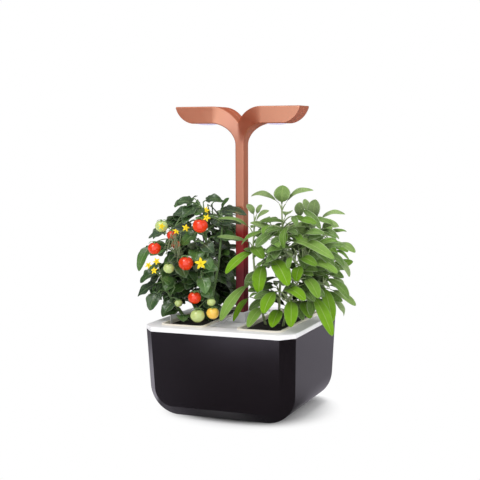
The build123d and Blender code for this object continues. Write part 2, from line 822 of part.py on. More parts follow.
def shell_screw_spots():
    """Where the screws go: place in the front view, and the depth of the rear surface."""
    arm_z = arm_top_z - arm_screw_below_top
    spots = [(0, foot_screw_z, mast_depth / 2)]
    for side in (-1, 1):
        spots += [(side * x, arm_z, arm_half_depth(x)) for x in arm_screw_places]
    return spots


def screw_seat_y(half_depth):
    return lamp_y + half_depth - shell_screw_sink - shell_screw_head_height


def screw_depth(half_depth):
    """How far a shell screw goes into the front shell without coming through."""
    return min(shell_screw_bite, half_depth - lamp_wall / 2 - screw_tip_gap)


def mast_shells():
    """Front and rear halves of the lamp's casing, parted on its middle plane."""
    outer = lamp_form(0, mast_foot_z)
    inner = lamp_form(lamp_wall, mast_foot_z + lamp_wall)
    far = 2 * arm_top_z
    groove = box((-far, far), (lamp_y - seam_width / 2, lamp_y + seam_width / 2), (0, far))
    skin = outer - inner - (groove - lamp_form(seam_depth, mast_foot_z - seam_depth))
    windows = [plate(side, lens_length, lens_depth, 0, arm_under_z + lamp_wall) for side in (-1, 1)]
    windows = [window & box((-far, far), (-far, far), (bend_z, far)) for window in windows]
    halves = []
    for face in (-1, 1):
        limits = (-far, lamp_y) if face < 0 else (lamp_y, far)
        keep = box((-far, far), limits, (0, far))
        bosses = [
            rod(boss_radius, (x, lamp_y, z), (x, lamp_y + face * half, z))
            for x, z, half in shell_screw_spots()
        ]
        extras = [boss & outer for boss in bosses] + [rib & keep for rib in ledges(outer)]
        if face < 0:
            extras.append(board_rest())
        halves.append(joined([skin & keep] + extras))
    front, rear = halves
    for window in windows:
        front -= window
        rear -= window
    for x, z, half in shell_screw_spots():
        seat = screw_seat_y(half)
        front -= rod(
            shell_screw_radius + screw_play,
            (x, lamp_y, z),
            (x, lamp_y - screw_depth(half) - screw_tip_gap, z),
        )
        rear -= rod(shell_screw_radius + screw_play, (x, lamp_y, z), (x, seat, z))
        rear -= rod(shell_screw_head_radius + screw_play, (x, seat, z), (x, lamp_y + half, z))
    rear_y = lamp_y + mast_depth / 2
    wall_y = rear_y - lamp_wall
    rear -= rod(jack_barrel_radius + jack_fit, (0, wall_y, jack_z), (0, rear_y, jack_z))
    rear -= rod(button_radius + button_hole_play, (0, wall_y, button_z), (0, rear_y, button_z))
    return front, rear


def board_rest():
    """Shelf across the mast that the control board stands on."""
    half = mast_width / 2 - lamp_wall / 2
    front_y = lamp_y - mast_depth / 2 + lamp_wall / 2
    low_z = control_board_bottom_z - ledge_thickness
    return box((-half, half), (front_y, lamp_y - rest_setback), (low_z, control_board_bottom_z))


def shell_screws():
    """Screws that close the casing from behind."""
    screws = []
    for x, z, half in shell_screw_spots():
        seat = screw_seat_y(half)
        shank = rod(shell_screw_radius, (x, lamp_y - screw_depth(half), z), (x, seat, z))
        head = rod(shell_screw_head_radius, (x, seat, z), (x, seat + shell_screw_head_height, z))
        screws.append(shank + head)
    return screws


def lamp_wires():
    """Two sheathed leads from the control board round each bend to the LED boards."""
    x = wire_spacing / 2
    radius = bend_x - x
    start_z = control_board_bottom_z + control_board_height
    turn = radians(45)
    middle = (bend_x - radius * cos(turn), lamp_y, bend_z + radius * sin(turn))
    low = (x, lamp_y, bend_z)
    high = (bend_x, lamp_y, bend_z + radius)
    route = Line((x, lamp_y, start_z), low) + ThreePointArc(low, middle, high)
    route += Line(high, (board_start() + wire_bite, lamp_y, bend_z + radius))
    section = Pos(x, lamp_y, start_z) * RegularPolygon(wire_radius, wire_sides)
    lead = sweep(section, path=route)
    return [lead, mirrored(lead)]


def control_board():
    half = control_board_width / 2
    return box(
        (-half, half),
        (lamp_y - board_thickness / 2, lamp_y + board_thickness / 2),
        (control_board_bottom_z, control_board_bottom_z + control_board_height),
    )


def dc_jack():
    """Low-voltage inlet: body, barrel flush with the mast's rear face, and centre pin."""
    rear_y = lamp_y + mast_depth / 2
    wall_y = rear_y - lamp_wall
    body = box(
        (-jack_body_width / 2, jack_body_width / 2),
        (wall_y - jack_body_depth, wall_y),
        (jack_z - jack_body_height / 2, jack_z + jack_body_height / 2),
    )
    body += rod(jack_barrel_radius, (0, wall_y, jack_z), (0, rear_y, jack_z))
    bottom_y = rear_y - jack_bore_depth
    body -= rod(jack_bore_radius, (0, bottom_y, jack_z), (0, rear_y, jack_z))
    return body + rod(jack_pin_radius, (0, bottom_y, jack_z), (0, rear_y - jack_pin_recess, jack_z))


def light_button():
    """Push button in the mast's rear face, held in by its flange."""
    rear_y = lamp_y + mast_depth / 2
    wall_y = rear_y - lamp_wall
    flange_y = wall_y - button_flange_thickness
    cap = rod(button_radius, (0, wall_y, button_z), (0, rear_y + button_proud, button_z))
    cap = chamfer(cap.edges().sort_by(Axis.Y)[-1], button_bevel)
    flange = rod(button_flange_radius, (0, flange_y, button_z), (0, wall_y, button_z))
    stem_y = switch_face_y() - switch_play
    stem = rod(button_stem_radius, (0, stem_y, button_z), (0, flange_y, button_z))
    return cap + flange + stem


def switch_face_y():
    """Front face of the switch, clear of the button's flange at full travel."""
    flange_y = lamp_y + mast_depth / 2 - lamp_wall - button_flange_thickness
    return flange_y - button_travel - switch_play


def tact_switch():
    """Momentary switch on the control board, with a well for the button's stem."""
    board_y = lamp_y + board_thickness / 2
    half = switch_size / 2
    body = box((-half, half), (board_y, switch_face_y()), (button_z - half, button_z + half))
    depth = button_travel + 2 * switch_play
    return body - rod(
        button_stem_radius + switch_play,
        (0, switch_face_y() - depth, button_z),
        (0, switch_face_y(), button_z),
    )


# --- Plants -----------------------------------------------------------------
def nearest_on(stems, point):
    """Closest place to a point on a set of stems."""
    best = None
    for stem in stems:
        for start, end in zip(stem, stem[1:]):
            run = Vector(*end) - Vector(*start)
            share = (Vector(*point) - Vector(*start)).dot(run) / run.dot(run)
            place = Vector(*start) + run * min(1.0, max(0.0, share))
            gap = (place - Vector(*point)).length
            if best is None or gap < best[0]:
                best = (gap, place)
    return best[1]


def bar(radius, sides, start, end):
    """Ribbed bar between two points, a little longer at both ends to meet the next one."""
    run = Vector(*end) - Vector(*start)
    spare = run.normalized() * radius * bar_overlap
    section = RegularPolygon(radius, sides)
    return Plane(origin=Vector(*start) - spare, z_dir=run) * extrude(
        section, run.length + 2 * spare.length
    )


def ribbed_stems(stems, radius, sides):
    """Main stems of one plant, each a chain of ribbed bars."""
    return [
        joined([bar(radius, sides, start, end) for start, end in zip(stem, stem[1:])])
        for stem in stems
    ]


def stalks(stems, radius, twigs):
    """Thin square stalks from just inside the nearest stem out to each twig's end."""
    pieces = []
    for end in twigs:
        axis = nearest_on(stems, end)
        run = Vector(*end) - axis
        if run.length > radius + stalk_radius:
            root = axis + run.normalized() * radius * stalk_root
            pieces.append(bar(stalk_radius, 4, tuple(root), end))
    return joined(pieces)


def blade(base, tip, width, arch):
    """Thin pointed leaf from base to tip, folded upwards in three steps along its length."""
    along = Vector(*tip) - Vector(*base)
    length = along.length
    along = along.normalized()
    facing = Vector(*leaf_facing)
    normal = facing - along * facing.dot(along)
    half = width / 2
    folds = [(length * share, half * reach) for share, reach in leaf_shoulders]
    edge = [(0, 0)] + [(x, y) for x, y in folds] + [(length, 0)] + [(x, -y) for x, y in folds[::-1]]
    plan = extrude(Polygon(*edge, align=None), arch + 2 * leaf_thickness, both=True)
    low = [(0, 0)] + [(x, arch) for x, y in folds] + [(length, 0)]
    high = [(x, z + leaf_thickness) for x, z in low[::-1]]
    band = extrude(Plane.XZ * Polygon(*low, *high, align=None), half, both=True)
    return Plane(origin=base, x_dir=along, z_dir=normal) * (plan & band)


def leaves(places):
    return [blade(base, tip, width, arch) for base, tip, width, arch in places]


def fruit(place):
    x, y, z, radius = place
    return Location((x, y, z)) * Sphere(radius)


def fruit_tops(places):
    return [(x, y, z + radius - fruit_stalk_bite) for x, y, z, radius in places]


def flower(place):
    """Five-pointed star facing the front."""
    points = []
    for index in range(10):
        reach = flower_radius * (1 if index % 2 == 0 else flower_notch)
        turn = radians(36 * index)
        points.append((reach * sin(turn), reach * cos(turn)))
    star = extrude(Polygon(*points, align=None), flower_thickness)
    return Plane(origin=place, z_dir=flower_facing) * star


front_shell, rear_shell = mast_shells()
tomato_twigs = [place[0] for place in tomato_leaf_places]
tomato_twigs += fruit_tops(ripe_fruit + unripe_fruit) + flower_places
sage_twigs = [place[0] for place in sage_leaf_places]

nodes = {
    "outer_housing": outer_housing(),
    "rubber_feet": rubber_feet(),
    "water_tank": water_tank(),
    "top_deck": top_deck(),
    "mast_socket": mast_socket(),
    "socket_screws": socket_screws(),
    "gauge_knob": gauge_knob(),
    "float_stem": float_stem(),
    "level_float": level_float(),
    "left_basket": basket(-1),
    "right_basket": basket(1),
    "left_medium": medium(-1),
    "right_medium": medium(1),
    "left_wick": wick(-1),
    "right_wick": wick(1),
    "plant_marker": plant_marker(),
    "mast_front_shell": front_shell,
    "mast_rear_shell": rear_shell,
    "shell_screws": shell_screws(),
    "left_lens": lens(-1),
    "right_lens": lens(1),
    "left_led_board": led_board(-1),
    "right_led_board": led_board(1),
    "led_chips": led_chips(),
    "left_heat_spreader": heat_spreader(-1),
    "right_heat_spreader": heat_spreader(1),
    "lamp_wires": lamp_wires(),
    "control_board": control_board(),
    "tact_switch": tact_switch(),
    "dc_jack": dc_jack(),
    "light_button": light_button(),
    "tomato_stems": ribbed_stems(tomato_stem_lines, tomato_stem_radius, tomato_stem_ribs),
    "tomato_stalks": stalks(tomato_stem_lines, tomato_stem_radius, tomato_twigs),
    "tomato_leaves": leaves(tomato_leaf_places),
    "ripe_tomatoes": [fruit(place) for place in ripe_fruit],
    "unripe_tomatoes": [fruit(place) for place in unripe_fruit],
    "tomato_flowers": [flower(place) for place in flower_places],
    "sage_stems": ribbed_stems(sage_stem_lines, sage_stem_radius, sage_stem_ribs),
    "sage_stalks": stalks(sage_stem_lines, sage_stem_radius, sage_twigs),
    "sage_leaves": leaves(sage_leaf_places),
}

os.makedirs("parts", exist_ok=True)
for name, shape in nodes.items():
    solid = Compound(children=list(shape)) if isinstance(shape, list) else shape
    export_step(solid, f"parts/{name}.step")
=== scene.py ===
"""Dresses a two-bed countertop garden: moulded and painted finishes, and the plants in its inserts."""

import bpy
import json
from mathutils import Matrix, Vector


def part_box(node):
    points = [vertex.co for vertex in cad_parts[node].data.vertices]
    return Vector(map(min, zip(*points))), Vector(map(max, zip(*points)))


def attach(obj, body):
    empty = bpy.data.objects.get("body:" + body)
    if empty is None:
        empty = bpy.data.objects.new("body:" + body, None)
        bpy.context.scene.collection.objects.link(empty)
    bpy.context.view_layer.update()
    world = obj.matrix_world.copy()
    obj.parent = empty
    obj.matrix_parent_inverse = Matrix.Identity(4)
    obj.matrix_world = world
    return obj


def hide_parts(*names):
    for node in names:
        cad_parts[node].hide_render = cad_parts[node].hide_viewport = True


bl_info = {
    "name": "Countertop garden",
    "version": (1, 0, 0),
    "blender": (4, 5, 0),
    "location": "3D View > Sidebar > Garden",
    "description": "Finishes, plants and a studio stage for a two-bed countertop garden",
    "category": "Object",
}

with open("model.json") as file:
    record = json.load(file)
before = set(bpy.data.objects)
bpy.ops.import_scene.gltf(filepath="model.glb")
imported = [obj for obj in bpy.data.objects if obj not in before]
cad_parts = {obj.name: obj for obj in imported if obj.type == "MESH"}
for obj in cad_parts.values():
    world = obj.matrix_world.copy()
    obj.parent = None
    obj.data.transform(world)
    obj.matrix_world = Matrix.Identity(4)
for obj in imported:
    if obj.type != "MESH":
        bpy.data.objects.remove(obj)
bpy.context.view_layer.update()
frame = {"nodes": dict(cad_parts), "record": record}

import json
from collections import namedtuple
from math import pi, radians

import bmesh
import bpy
import numpy as np
from mathutils import Euler, Matrix, Vector

MM = 0.001


def paint(red, green, blue):
    """Linear colour from screen values of 0 to 255."""
    level = np.array([red, green, blue]) / 255
    return tuple(np.where(level <= 0.04045, level / 12.92, ((level + 0.055) / 1.055) ** 2.4))


def colour(label, note, *screen):
    return bpy.props.FloatVectorProperty(
        name=label, description=note, subtype="COLOR", size=3, min=0, max=1, default=paint(*screen)
    )


def number(label, note, default, **limits):
    return bpy.props.FloatProperty(name=label, description=note, default=default, min=0, **limits)


def length(label, note, default):
    return number(label, note, default, unit="LENGTH", subtype="DISTANCE")


def share(label, note, default):
    return number(label, note, default, max=1, subtype="FACTOR")


def power(label, default):
    return number(label, label + " lamp power", default, unit="POWER")


def amount(label, note, default):
    return bpy.props.IntProperty(name=label, description=note, default=default, min=0)


class GardenFinish(bpy.types.PropertyGroup):
    """Colours and edge rounds of the moulded and painted parts."""

    housing: colour("Housing", "Gloss plastic of the base", 20, 15, 18)
    deck: colour("Deck", "White plastic of the deck", 233, 232, 234)
    lips: colour("Insert lips", "Ivory plastic of the grow inserts", 238, 232, 218)
    lamp: colour("Lamp", "Copper coat of the mast and arms", 158, 54, 16)
    # Painted shade: the copper coat darkens to red among the leaves and to maroon at the deck, where
    # the leaves shade the mast.
    lamp_leaf_shade: colour("Lamp foot", "Red that the coat takes on among the leaves", 150, 22, 16)
    lamp_foot_shade: colour("Lamp socket end", "Maroon of the coat where it meets the deck", 84, 14, 30)
    soil: colour("Growing medium", "Damp fibre in the inserts", 22, 17, 15)
    edge_round: length("Edge round", "Radius worn into moulded edges", 0.7 * MM)
    light: number("Lamp light", "Brightness of the diffusers", 0.45)


class GardenPlants(bpy.types.PropertyGroup):
    """Colours and numbers of leaves."""

    sage_grey: colour("Sage, old", "Grey-green of the upper leaves", 102, 124, 74)
    sage_fresh: colour("Sage, fresh", "Bright green of the front leaves", 98, 142, 0)
    sage_deep: colour("Sage, inner", "Shaded leaves between the large ones", 58, 90, 28)
    tomato_dark: colour("Tomato, old", "Dark green of most tomato leaves", 20, 48, 25)
    tomato_fresh: colour("Tomato, fresh", "Brighter young tomato leaves", 82, 124, 46)
    ripe: colour("Ripe fruit", "Skin of ripe fruit", 228, 54, 6)
    unripe: colour("Unripe fruit", "Skin of green fruit", 190, 206, 130)
    turning: colour("Turning fruit", "Skin of fruit that begins to ripen", 242, 196, 78)
    petal: colour("Petals", "Tomato blossom", 252, 224, 10)
    sage_fill: amount("Inner sage leaves", "Leaves between the large ones", 230)
    tomato_fill: amount("Inner tomato leaves", "Leaves behind the large ones", 290)
    blade: length("Leaf thickness", "Thickness of every leaf", 0.5 * MM)
    turn: share("Leaf variety", "How much leaves twist and bend", 0.5)


class GardenStage(bpy.types.PropertyGroup):
    """Floor, lamps and sky."""

    floor: colour("Floor", "Pale floor", 250, 250, 251)
    sky: share("Sky", "Level of the even light from all round", 0.86)
    key: power("Key", 17)
    fill: power("Fill", 6)
    top: power("Top", 24)


# --- Materials ----------------------------------------------------------------
class Nodes:
    """A node tree, with short ways to add nodes that are already linked."""

    def __init__(self, tree):
        self.tree = tree

    def node(self, kind, inputs=(), **settings):
        made = self.tree.nodes.new("ShaderNode" + kind)
        for key, value in settings.items():
            setattr(made, key, value)
        for key, value in dict(inputs).items():
            if isinstance(value, bpy.types.NodeSocket):
                self.tree.links.new(value, made.inputs[key])
            else:
                made.inputs[key].default_value = value
        return made

    def math(self, operation, *inputs):
        return self.node("Math", enumerate(inputs), operation=operation).outputs[0]

    def times(self, first, second):
        return self.math("MULTIPLY", first, second)

    def larger(self, first, second):
        return self.math("MAXIMUM", first, second)

    def vector(self, operation, *inputs):
        made = self.node("VectorMath", enumerate(inputs), operation=operation)
        return made.outputs["Value" if operation in ("LENGTH", "DISTANCE") else "Vector"]

    def axes(self, vector):
        return self.node("SeparateXYZ", {0: vector}).outputs

    def between(self, value, low, high, out_low=0.0, out_high=1.0):
        """The value's smooth share of the way from low to high."""
        inputs = {0: value, 1: low, 2: high, 3: out_low, 4: out_high}
        return self.node("MapRange", inputs, interpolation_type="SMOOTHSTEP").outputs[0]


class Finish(Nodes):
    """One principled material and the pattern nodes that feed it."""

    def __init__(self, name, **sockets):
        self.material = bpy.data.materials.new(name)
        self.material.use_nodes = True
        super().__init__(self.material.node_tree)
        self.shader = next(n for n in self.tree.nodes if n.type == "BSDF_PRINCIPLED")
        for key, value in sockets.items():
            self.set(key.replace("_", " "), value)
        self.place = self.node("TexCoord").outputs["Object"]

    def set(self, socket, value):
        """A plain value for one of the shader's sockets, or a link to it."""
        socket = self.shader.inputs[socket]
        if isinstance(value, bpy.types.NodeSocket):
            self.tree.links.new(value, socket)
        elif socket.type == "RGBA":
            socket.default_value = (*value, 1)
        else:
            socket.default_value = value

    def noise(self, scale, detail=3.0, stretch=None):
        place = self.place
        if stretch:
            place = self.node("Mapping", {"Vector": place, "Scale": stretch}).outputs[0]
        inputs = {"Vector": place, "Scale": scale, "Detail": detail}
        return self.node("TexNoise", inputs).outputs[0]

    def cells(self, scale):
        return self.node("TexVoronoi", {"Vector": self.place, "Scale": scale}).outputs["Distance"]

    def mix(self, factor, first, second):
        inputs = {0: factor}
        for index, value in ((6, first), (7, second)):
            plain = hasattr(value, "__len__") and len(value) == 3
            inputs[index] = (*value, 1) if plain else value
        return self.node("Mix", inputs, data_type="RGBA").outputs[2]

    def attribute(self, name):
        return self.node("Attribute", attribute_name=name).outputs["Fac"]

    def mottle(self, pattern, tone, low, high):
        """Base colour that wanders with a pattern between two shades of one tone."""
        self.set("Base Color", self.mix(pattern, shade(tone, low), shade(tone, high)))

    def rough(self, pattern, low, high):
        self.set("Roughness", self.between(pattern, 0.3, 0.7, low, high))

    def bump(self, height, distance, edge=0.0):
        """Relief in the shading, over edges that look rounded by the given radius."""
        inputs = {"Height": height, "Distance": distance}
        if edge:
            inputs["Normal"] = self.node("Bevel", {"Radius": edge}, samples=8).outputs[0]
        self.set("Normal", self.node("Bump", inputs).outputs[0])


def shade(tone, factor):
    return tuple(min(1.0, value * factor) for value in tone)


def moulded(name, tone, roughness, grain=1040.0, depth=0.02 * MM):
    """Moulded plastic: a faint mottle in colour and gloss over a fine skin texture."""
    made = Finish(name)
    made.mottle(made.noise(18.0), tone, 0.93, 1.06)
    made.rough(made.noise(45.0), roughness * 0.88, roughness * 1.12)
    made.bump(made.noise(grain, detail=2.0), depth)
    return made.material


def gloss_black(tone):
    """Polished black plastic with a slight orange peel."""
    made = Finish("gloss_black", IOR=1.72, Specular_Tint=(0.93, 0.91, 1.0))
    made.mottle(made.noise(9.0), tone, 0.8, 1.25)
    made.rough(made.noise(70.0), 0.19, 0.21)
    made.bump(made.noise(420.0, detail=1.0), 0.012 * MM)
    return made.material


def copper_coat(tone, leaf_shade_tone, foot_shade_tone):
    """Satin copper paint: a deep brown body under a dense copper-tinted gloss with fine flake.
    Painted shade reddens and darkens it down the mast, where the leaves shade it, and dims its gloss
    there."""
    made = Finish("copper_coat", IOR=2.6, Specular_IOR_Level=1.0)
    height = made.axes(made.place)[2]
    flake = made.cells(2600.0)
    metal = made.mix(flake, shade(tone, 1.08), shade(tone, 0.88))
    # Painted shade: below this height the gloss is tinted dark red instead of copper.
    bright = made.between(height, 0.240, 0.262)
    made.set("Specular Tint", made.mix(bright, (0.30, 0.10, 0.10), (1.0, 0.65, 0.45)))
    # Painted shade: red among the leaves, maroon at the deck, copper above.
    red = made.mix(made.between(height, 0.180, 0.222), foot_shade_tone, leaf_shade_tone)
    made.set("Base Color", made.mix(made.between(height, 0.244, 0.262), red, metal))
    made.rough(made.noise(90.0), 0.30, 0.36)
    made.bump(flake, 0.008 * MM, edge=0.8 * MM)
    return made.material


def rolled_metal(name, tone, roughness):
    """Bare metal with fine drawn lines."""
    made = Finish(name, Metallic=1.0)
    lines = made.noise(60.0, detail=2.0, stretch=(1.0, 40.0, 40.0))
    made.mottle(lines, tone, 0.85, 1.0)
    made.rough(lines, roughness, roughness * 1.3)
    return made.material


def opal_diffuser(strength):
    """Lit opal plastic with a faint cooler mottle."""
    made = Finish("opal_diffuser", Roughness=0.35, Emission_Strength=strength)
    made.set("Base Color", made.mix(made.noise(60.0), (0.36, 0.35, 0.52), (0.42, 0.40, 0.58)))
    made.set("Emission Color", made.mix(made.cells(140.0), (0.90, 0.86, 1.0), (0.72, 0.70, 1.0)))
    return made.material


def damp_fibre(name, tone):
    """Crumbly dark medium with paler fibres."""
    made = Finish(name, Roughness=0.95)
    crumbs = made.cells(420.0)
    strands = made.noise(900.0, detail=4.0, stretch=(1.0, 3.0, 1.0))
    fibre = made.between(strands, 0.60, 0.72, 0.0, 0.55)
    base = made.mix(crumbs, shade(tone, 0.5), shade(tone, 1.7))
    made.set("Base Color", made.mix(fibre, base, shade(tone, 5.0)))
    made.bump(crumbs, 0.8 * MM)
    return made.material


def felt(name, tone):
    """Matted white fibres."""
    made = Finish(name, Roughness=0.95, Sheen_Weight=0.3)
    fibre = made.noise(1400.0, stretch=(1.0, 1.0, 0.3))
    made.mottle(fibre, tone, 0.8, 1.0)
    made.bump(fibre, 0.2 * MM)
    return made.material


# Tones that every leaf shares
DUST = (0.42, 0.50, 0.28)
RIM = (0.46, 0.53, 0.36)
VEIN = (0.34, 0.46, 0.15)
UNDERSIDE = (0.32, 0.38, 0.24)
SAGE_SKIN = dict(
    vein_light=0.55, pebble=900.0, relief=0.5 * MM, gloss=0.5, shine=0.12, bloom=0.40, ribs=16,
    shade_centre=(0.072, 0.0, 0.165),
)
TOMATO_SKIN = dict(
    vein_light=0.25, pebble=380.0, relief=0.25 * MM, gloss=0.27, shine=0.6, bloom=0.10, ribs=7,
    shade_centre=(-0.062, 0.0, 0.165),
)


def leaf_skin(name, old, fresh, vein_light, pebble, relief, gloss, shine, bloom, ribs, shade_centre):
    """Leaf skin: old to fresh green by leaf, a pale midrib and side veins, and pebbled tissue
    whose cells may carry a grey bloom. Painted shade darkens each leaf towards its base and the
    leaves towards the middle of the plant, and painted light brightens the outer leaves."""
    made = Finish(name, Roughness=gloss, Specular_IOR_Level=shine)
    place = made.axes(made.node("UVMap").outputs[0])
    across = made.math("ABSOLUTE", made.math("SUBTRACT", place[0], 0.5))
    along = place[1]
    slant = made.math("MULTIPLY_ADD", across, -0.55, along)
    wave = made.math("ABSOLUTE", made.math("SINE", made.times(slant, ribs * pi)))
    side_vein = made.between(wave, 0.0, 0.22, 1.0, 0.0)
    midrib = made.between(across, 0.0, 0.045, 1.0, 0.0)
    vein = made.larger(midrib, made.times(side_vein, 0.45))
    tissue = made.cells(pebble)
    tint = made.attribute("tint")
    green = made.mix(tint, made.mix(made.times(tissue, bloom), old, DUST), fresh)
    cloudy = made.between(made.noise(160.0), 0.35, 0.65, 0.0, 0.35)
    green = made.mix(cloudy, green, made.mix(tint, shade(old, 1.8), shade(fresh, 1.25)))
    # Painted shade: each leaf darkens towards its base.
    shaded = made.mix(tint, shade(old, 0.45), shade(fresh, 0.45))
    green = made.mix(made.between(along, 0.05, 0.60, 0.65, 0.0), green, shaded)
    aged = made.math("MULTIPLY_ADD", tint, -0.85, 1.0)
    rim = made.times(made.between(across, 0.40, 0.49, 0.0, bloom * 1.6), aged)
    green = made.mix(rim, green, RIM)
    green = made.mix(made.times(vein, vein_light), green, VEIN)
    green = made.mix(made.attribute("under"), green, made.mix(0.45, green, UNDERSIDE))
    # Painted shade and light: leaves darken towards the middle of the plant and brighten a little far
    # from it.
    offset = made.vector("MULTIPLY", made.vector("SUBTRACT", made.place, shade_centre), (1, 1, 0.45))
    depth = made.between(made.vector("LENGTH", offset), 0.012, 0.064, 0.16, 1.16)
    green_in_shade = made.node("VectorMath", {0: green, "Scale": depth}, operation="SCALE")
    made.set("Base Color", green_in_shade.outputs[0])
    made.bump(made.math("SUBTRACT", made.times(tissue, 0.7), made.times(vein, 0.6)), relief)
    return made.material


def stem_skin(name, *screen):
    """Green stem with lengthwise ribs and a paler bloom."""
    made = Finish(name, Roughness=0.6, Sheen_Weight=0.25)
    ribs = made.noise(500.0, detail=2.0, stretch=(1.0, 1.0, 0.12))
    made.mottle(ribs, paint(*screen), 0.65, 1.35)
    made.bump(ribs, 0.2 * MM)
    return made.material


def fruit_skin(name, tone, top_tone):
    """Tight glossy skin, another shade round the stalk, with faint flecks."""
    made = Finish(
        name, Roughness=0.22, Coat_Weight=0.6, Coat_Roughness=0.10,
        Subsurface_Weight=0.15, Subsurface_Radius=(0.004, 0.002, 0.001),
    )
    flecks = made.between(made.cells(700.0), 0.0, 0.25, 0.25, 0.0)
    body = made.mix(made.noise(70.0), shade(tone, 0.85), shade(tone, 1.1))
    body = made.mix(made.attribute("tint"), body, top_tone)
    made.set("Base Color", made.mix(flecks, body, shade(top_tone, 1.2)))
    made.bump(made.noise(120.0), 0.05 * MM)
    return made.material


def petal_skin(tone):
    """Yellow petal with lengthwise streaks."""
    made = Finish("petal_skin", Roughness=0.55)
    across = made.axes(made.node("UVMap").outputs[0])[0]
    streak = made.math("ABSOLUTE", made.math("SINE", made.times(across, 24.0)))
    made.mottle(streak, tone, 0.82, 1.0)
    made.bump(streak, 0.06 * MM)
    return made.material


# --- Surfaces worked out as whole arrays --------------------------------------
def unit(vectors):
    return vectors / np.linalg.norm(vectors, axis=-1, keepdims=True)


def dot(first, second):
    return (first * second).sum(-1, keepdims=True)


UP = np.array([0.0, 0.0, 1.0])


def turns(count):
    """Angles that share a circle evenly."""
    return 2 * pi * np.arange(count) / count


def packed(*columns):
    """Columns spread to one shape and set side by side."""
    return np.stack(np.broadcast_arrays(*columns), -1)


def spokes(turn, height):
    """Ways out from the upright axis at the given turns, each reaching 1 out and height up."""
    return packed(np.cos(turn), np.sin(turn), height)


def ramp(value, low, high):
    """The value's straight share of the way from low to high."""
    return np.clip((value - low) / (high - low), 0, 1)


class Bundle:
    """Collects closed surfaces, each a stack of rings with a pole past either end, into one mesh."""

    def __init__(self):
        self.points, self.uv = [], []
        self.quads, self.tris = [], []
        self.values = {"tint": [], "under": []}
        self.count = 0

    def add(self, rings, poles, uv=0.0, tint=0.0, under=0.0):
        """rings is surface by row by ring by 3; poles, uv, tint and under go in the same order, or
        are spread to its shape."""
        surfaces, rows, ring = rings.shape[:3]
        each = rows * ring + 2
        row = np.arange(rows - 1)[:, None] * ring
        here = np.arange(ring)[None]
        after = (here + 1) % ring
        quads = np.stack([row + here, row + after, row + ring + after, row + ring + here], -1)
        here, after, last = here[0], after[0], (rows - 1) * ring
        foot = np.stack([np.full(ring, each - 2), after, here], -1)
        head = np.stack([np.full(ring, each - 1), last + here, last + after], -1)
        start = self.count + np.arange(surfaces)[:, None, None] * each
        self.quads.append((quads.reshape(1, -1, 4) + start).reshape(-1, 4))
        self.tris.append((np.concatenate([foot, head])[None] + start).reshape(-1, 3))
        points = np.concatenate([rings.reshape(surfaces, -1, 3), poles], 1)
        self.points.append(points.reshape(-1, 3))
        uv = np.broadcast_to(uv, (surfaces, rows, ring, 2)).reshape(surfaces, -1, 2)
        ends = np.broadcast_to(np.array([[0.5, 0.0], [0.5, 1.0]]), (surfaces, 2, 2))
        self.uv.append(np.concatenate([uv, ends], 1).reshape(-1, 2))
        for key, value in (("tint", tint), ("under", under)):
            value = np.broadcast_to(value, (surfaces, rows, ring)).reshape(surfaces, -1)
            value = np.concatenate([value, value[:, :1], value[:, -1:]], 1)
            self.values[key].append(value.ravel())
        self.count += surfaces * each

    def mesh(self, name):
        quads, tris = np.concatenate(self.quads), np.concatenate(self.tris)
        made = bpy.data.meshes.new(name)
        made.from_pydata(np.concatenate(self.points).tolist(), [], quads.tolist() + tris.tolist())
        corners = np.concatenate([quads.ravel(), tris.ravel()])
        uv = np.concatenate(self.uv)[corners]
        made.uv_layers.new(name="UVMap").data.foreach_set("uv", uv.astype(np.float32).ravel())
        for key, value in self.values.items():
            attribute = made.attributes.new(key, "FLOAT", "POINT")
            attribute.data.foreach_set("value", np.concatenate(value).astype(np.float32))
        made.shade_smooth()
        made.validate()
        return made


def sweep_tubes(bundle, paths, radii, ring=8):
    """Round tubes: circles of the given radii, square to each path, which is tubes by rows by 3."""
    along = unit(np.gradient(paths, axis=1))
    spread = unit(paths[:, -1] - paths[:, 0])
    rough = np.eye(3)[np.abs(spread).argmin(-1)][:, None]
    side = unit(np.cross(np.broadcast_to(rough, along.shape), along))
    up = np.cross(along, side)
    turn = turns(ring)
    radii = np.broadcast_to(radii, paths.shape[:2])[..., None, None]
    circle = side[:, :, None] * np.cos(turn)[:, None] + up[:, :, None] * np.sin(turn)[:, None]
    rings = paths[:, :, None] + circle * radii
    cap = radii[:, :, 0]
    poles = np.stack([
        paths[:, 0] - along[:, 0] * cap[:, 0] * 0.4, paths[:, -1] + along[:, -1] * cap[:, -1] * 0.4
    ], 1)
    height = np.linspace(0, 1, paths.shape[1])[:, None]
    bundle.add(rings, poles, packed(turn / (2 * pi), height))


def smooth_path(points, rows):
    """Points along a curve with even knots: cubic pieces whose slopes are central differences."""
    points = np.asarray(points, float)
    slopes = np.gradient(points, axis=0)
    where = np.linspace(0, len(points) - 1, rows)
    start = np.minimum(where.astype(int), len(points) - 2)
    s = (where - start)[:, None]
    first, second = points[start], points[start + 1]
    bend = slopes[start] * s * (1 - s) ** 2 - slopes[start + 1] * s**2 * (1 - s)
    return first * (1 + 2 * s) * (1 - s) ** 2 + second * s**2 * (3 - 2 * s) + bend


def arched_paths(starts, ends, lift, rows=7):
    """Parabolas from start to end, lifted in the middle."""
    s = np.linspace(0, 1, rows)[None, :, None]
    paths = starts[:, None] * (1 - s) + ends[:, None] * s
    paths[..., 2] += (4 * s * (1 - s))[..., 0] * np.broadcast_to(lift, (len(starts),))[:, None]
    return paths


def sage_outline(u):
    """Narrow petiole, then a long oval with a blunt tip."""
    body = np.clip((u - 0.12) / 0.88, 0, 1)
    return np.maximum(0.1 * (1 - u) ** 2, np.sin(pi * body**1.05) ** 0.52)


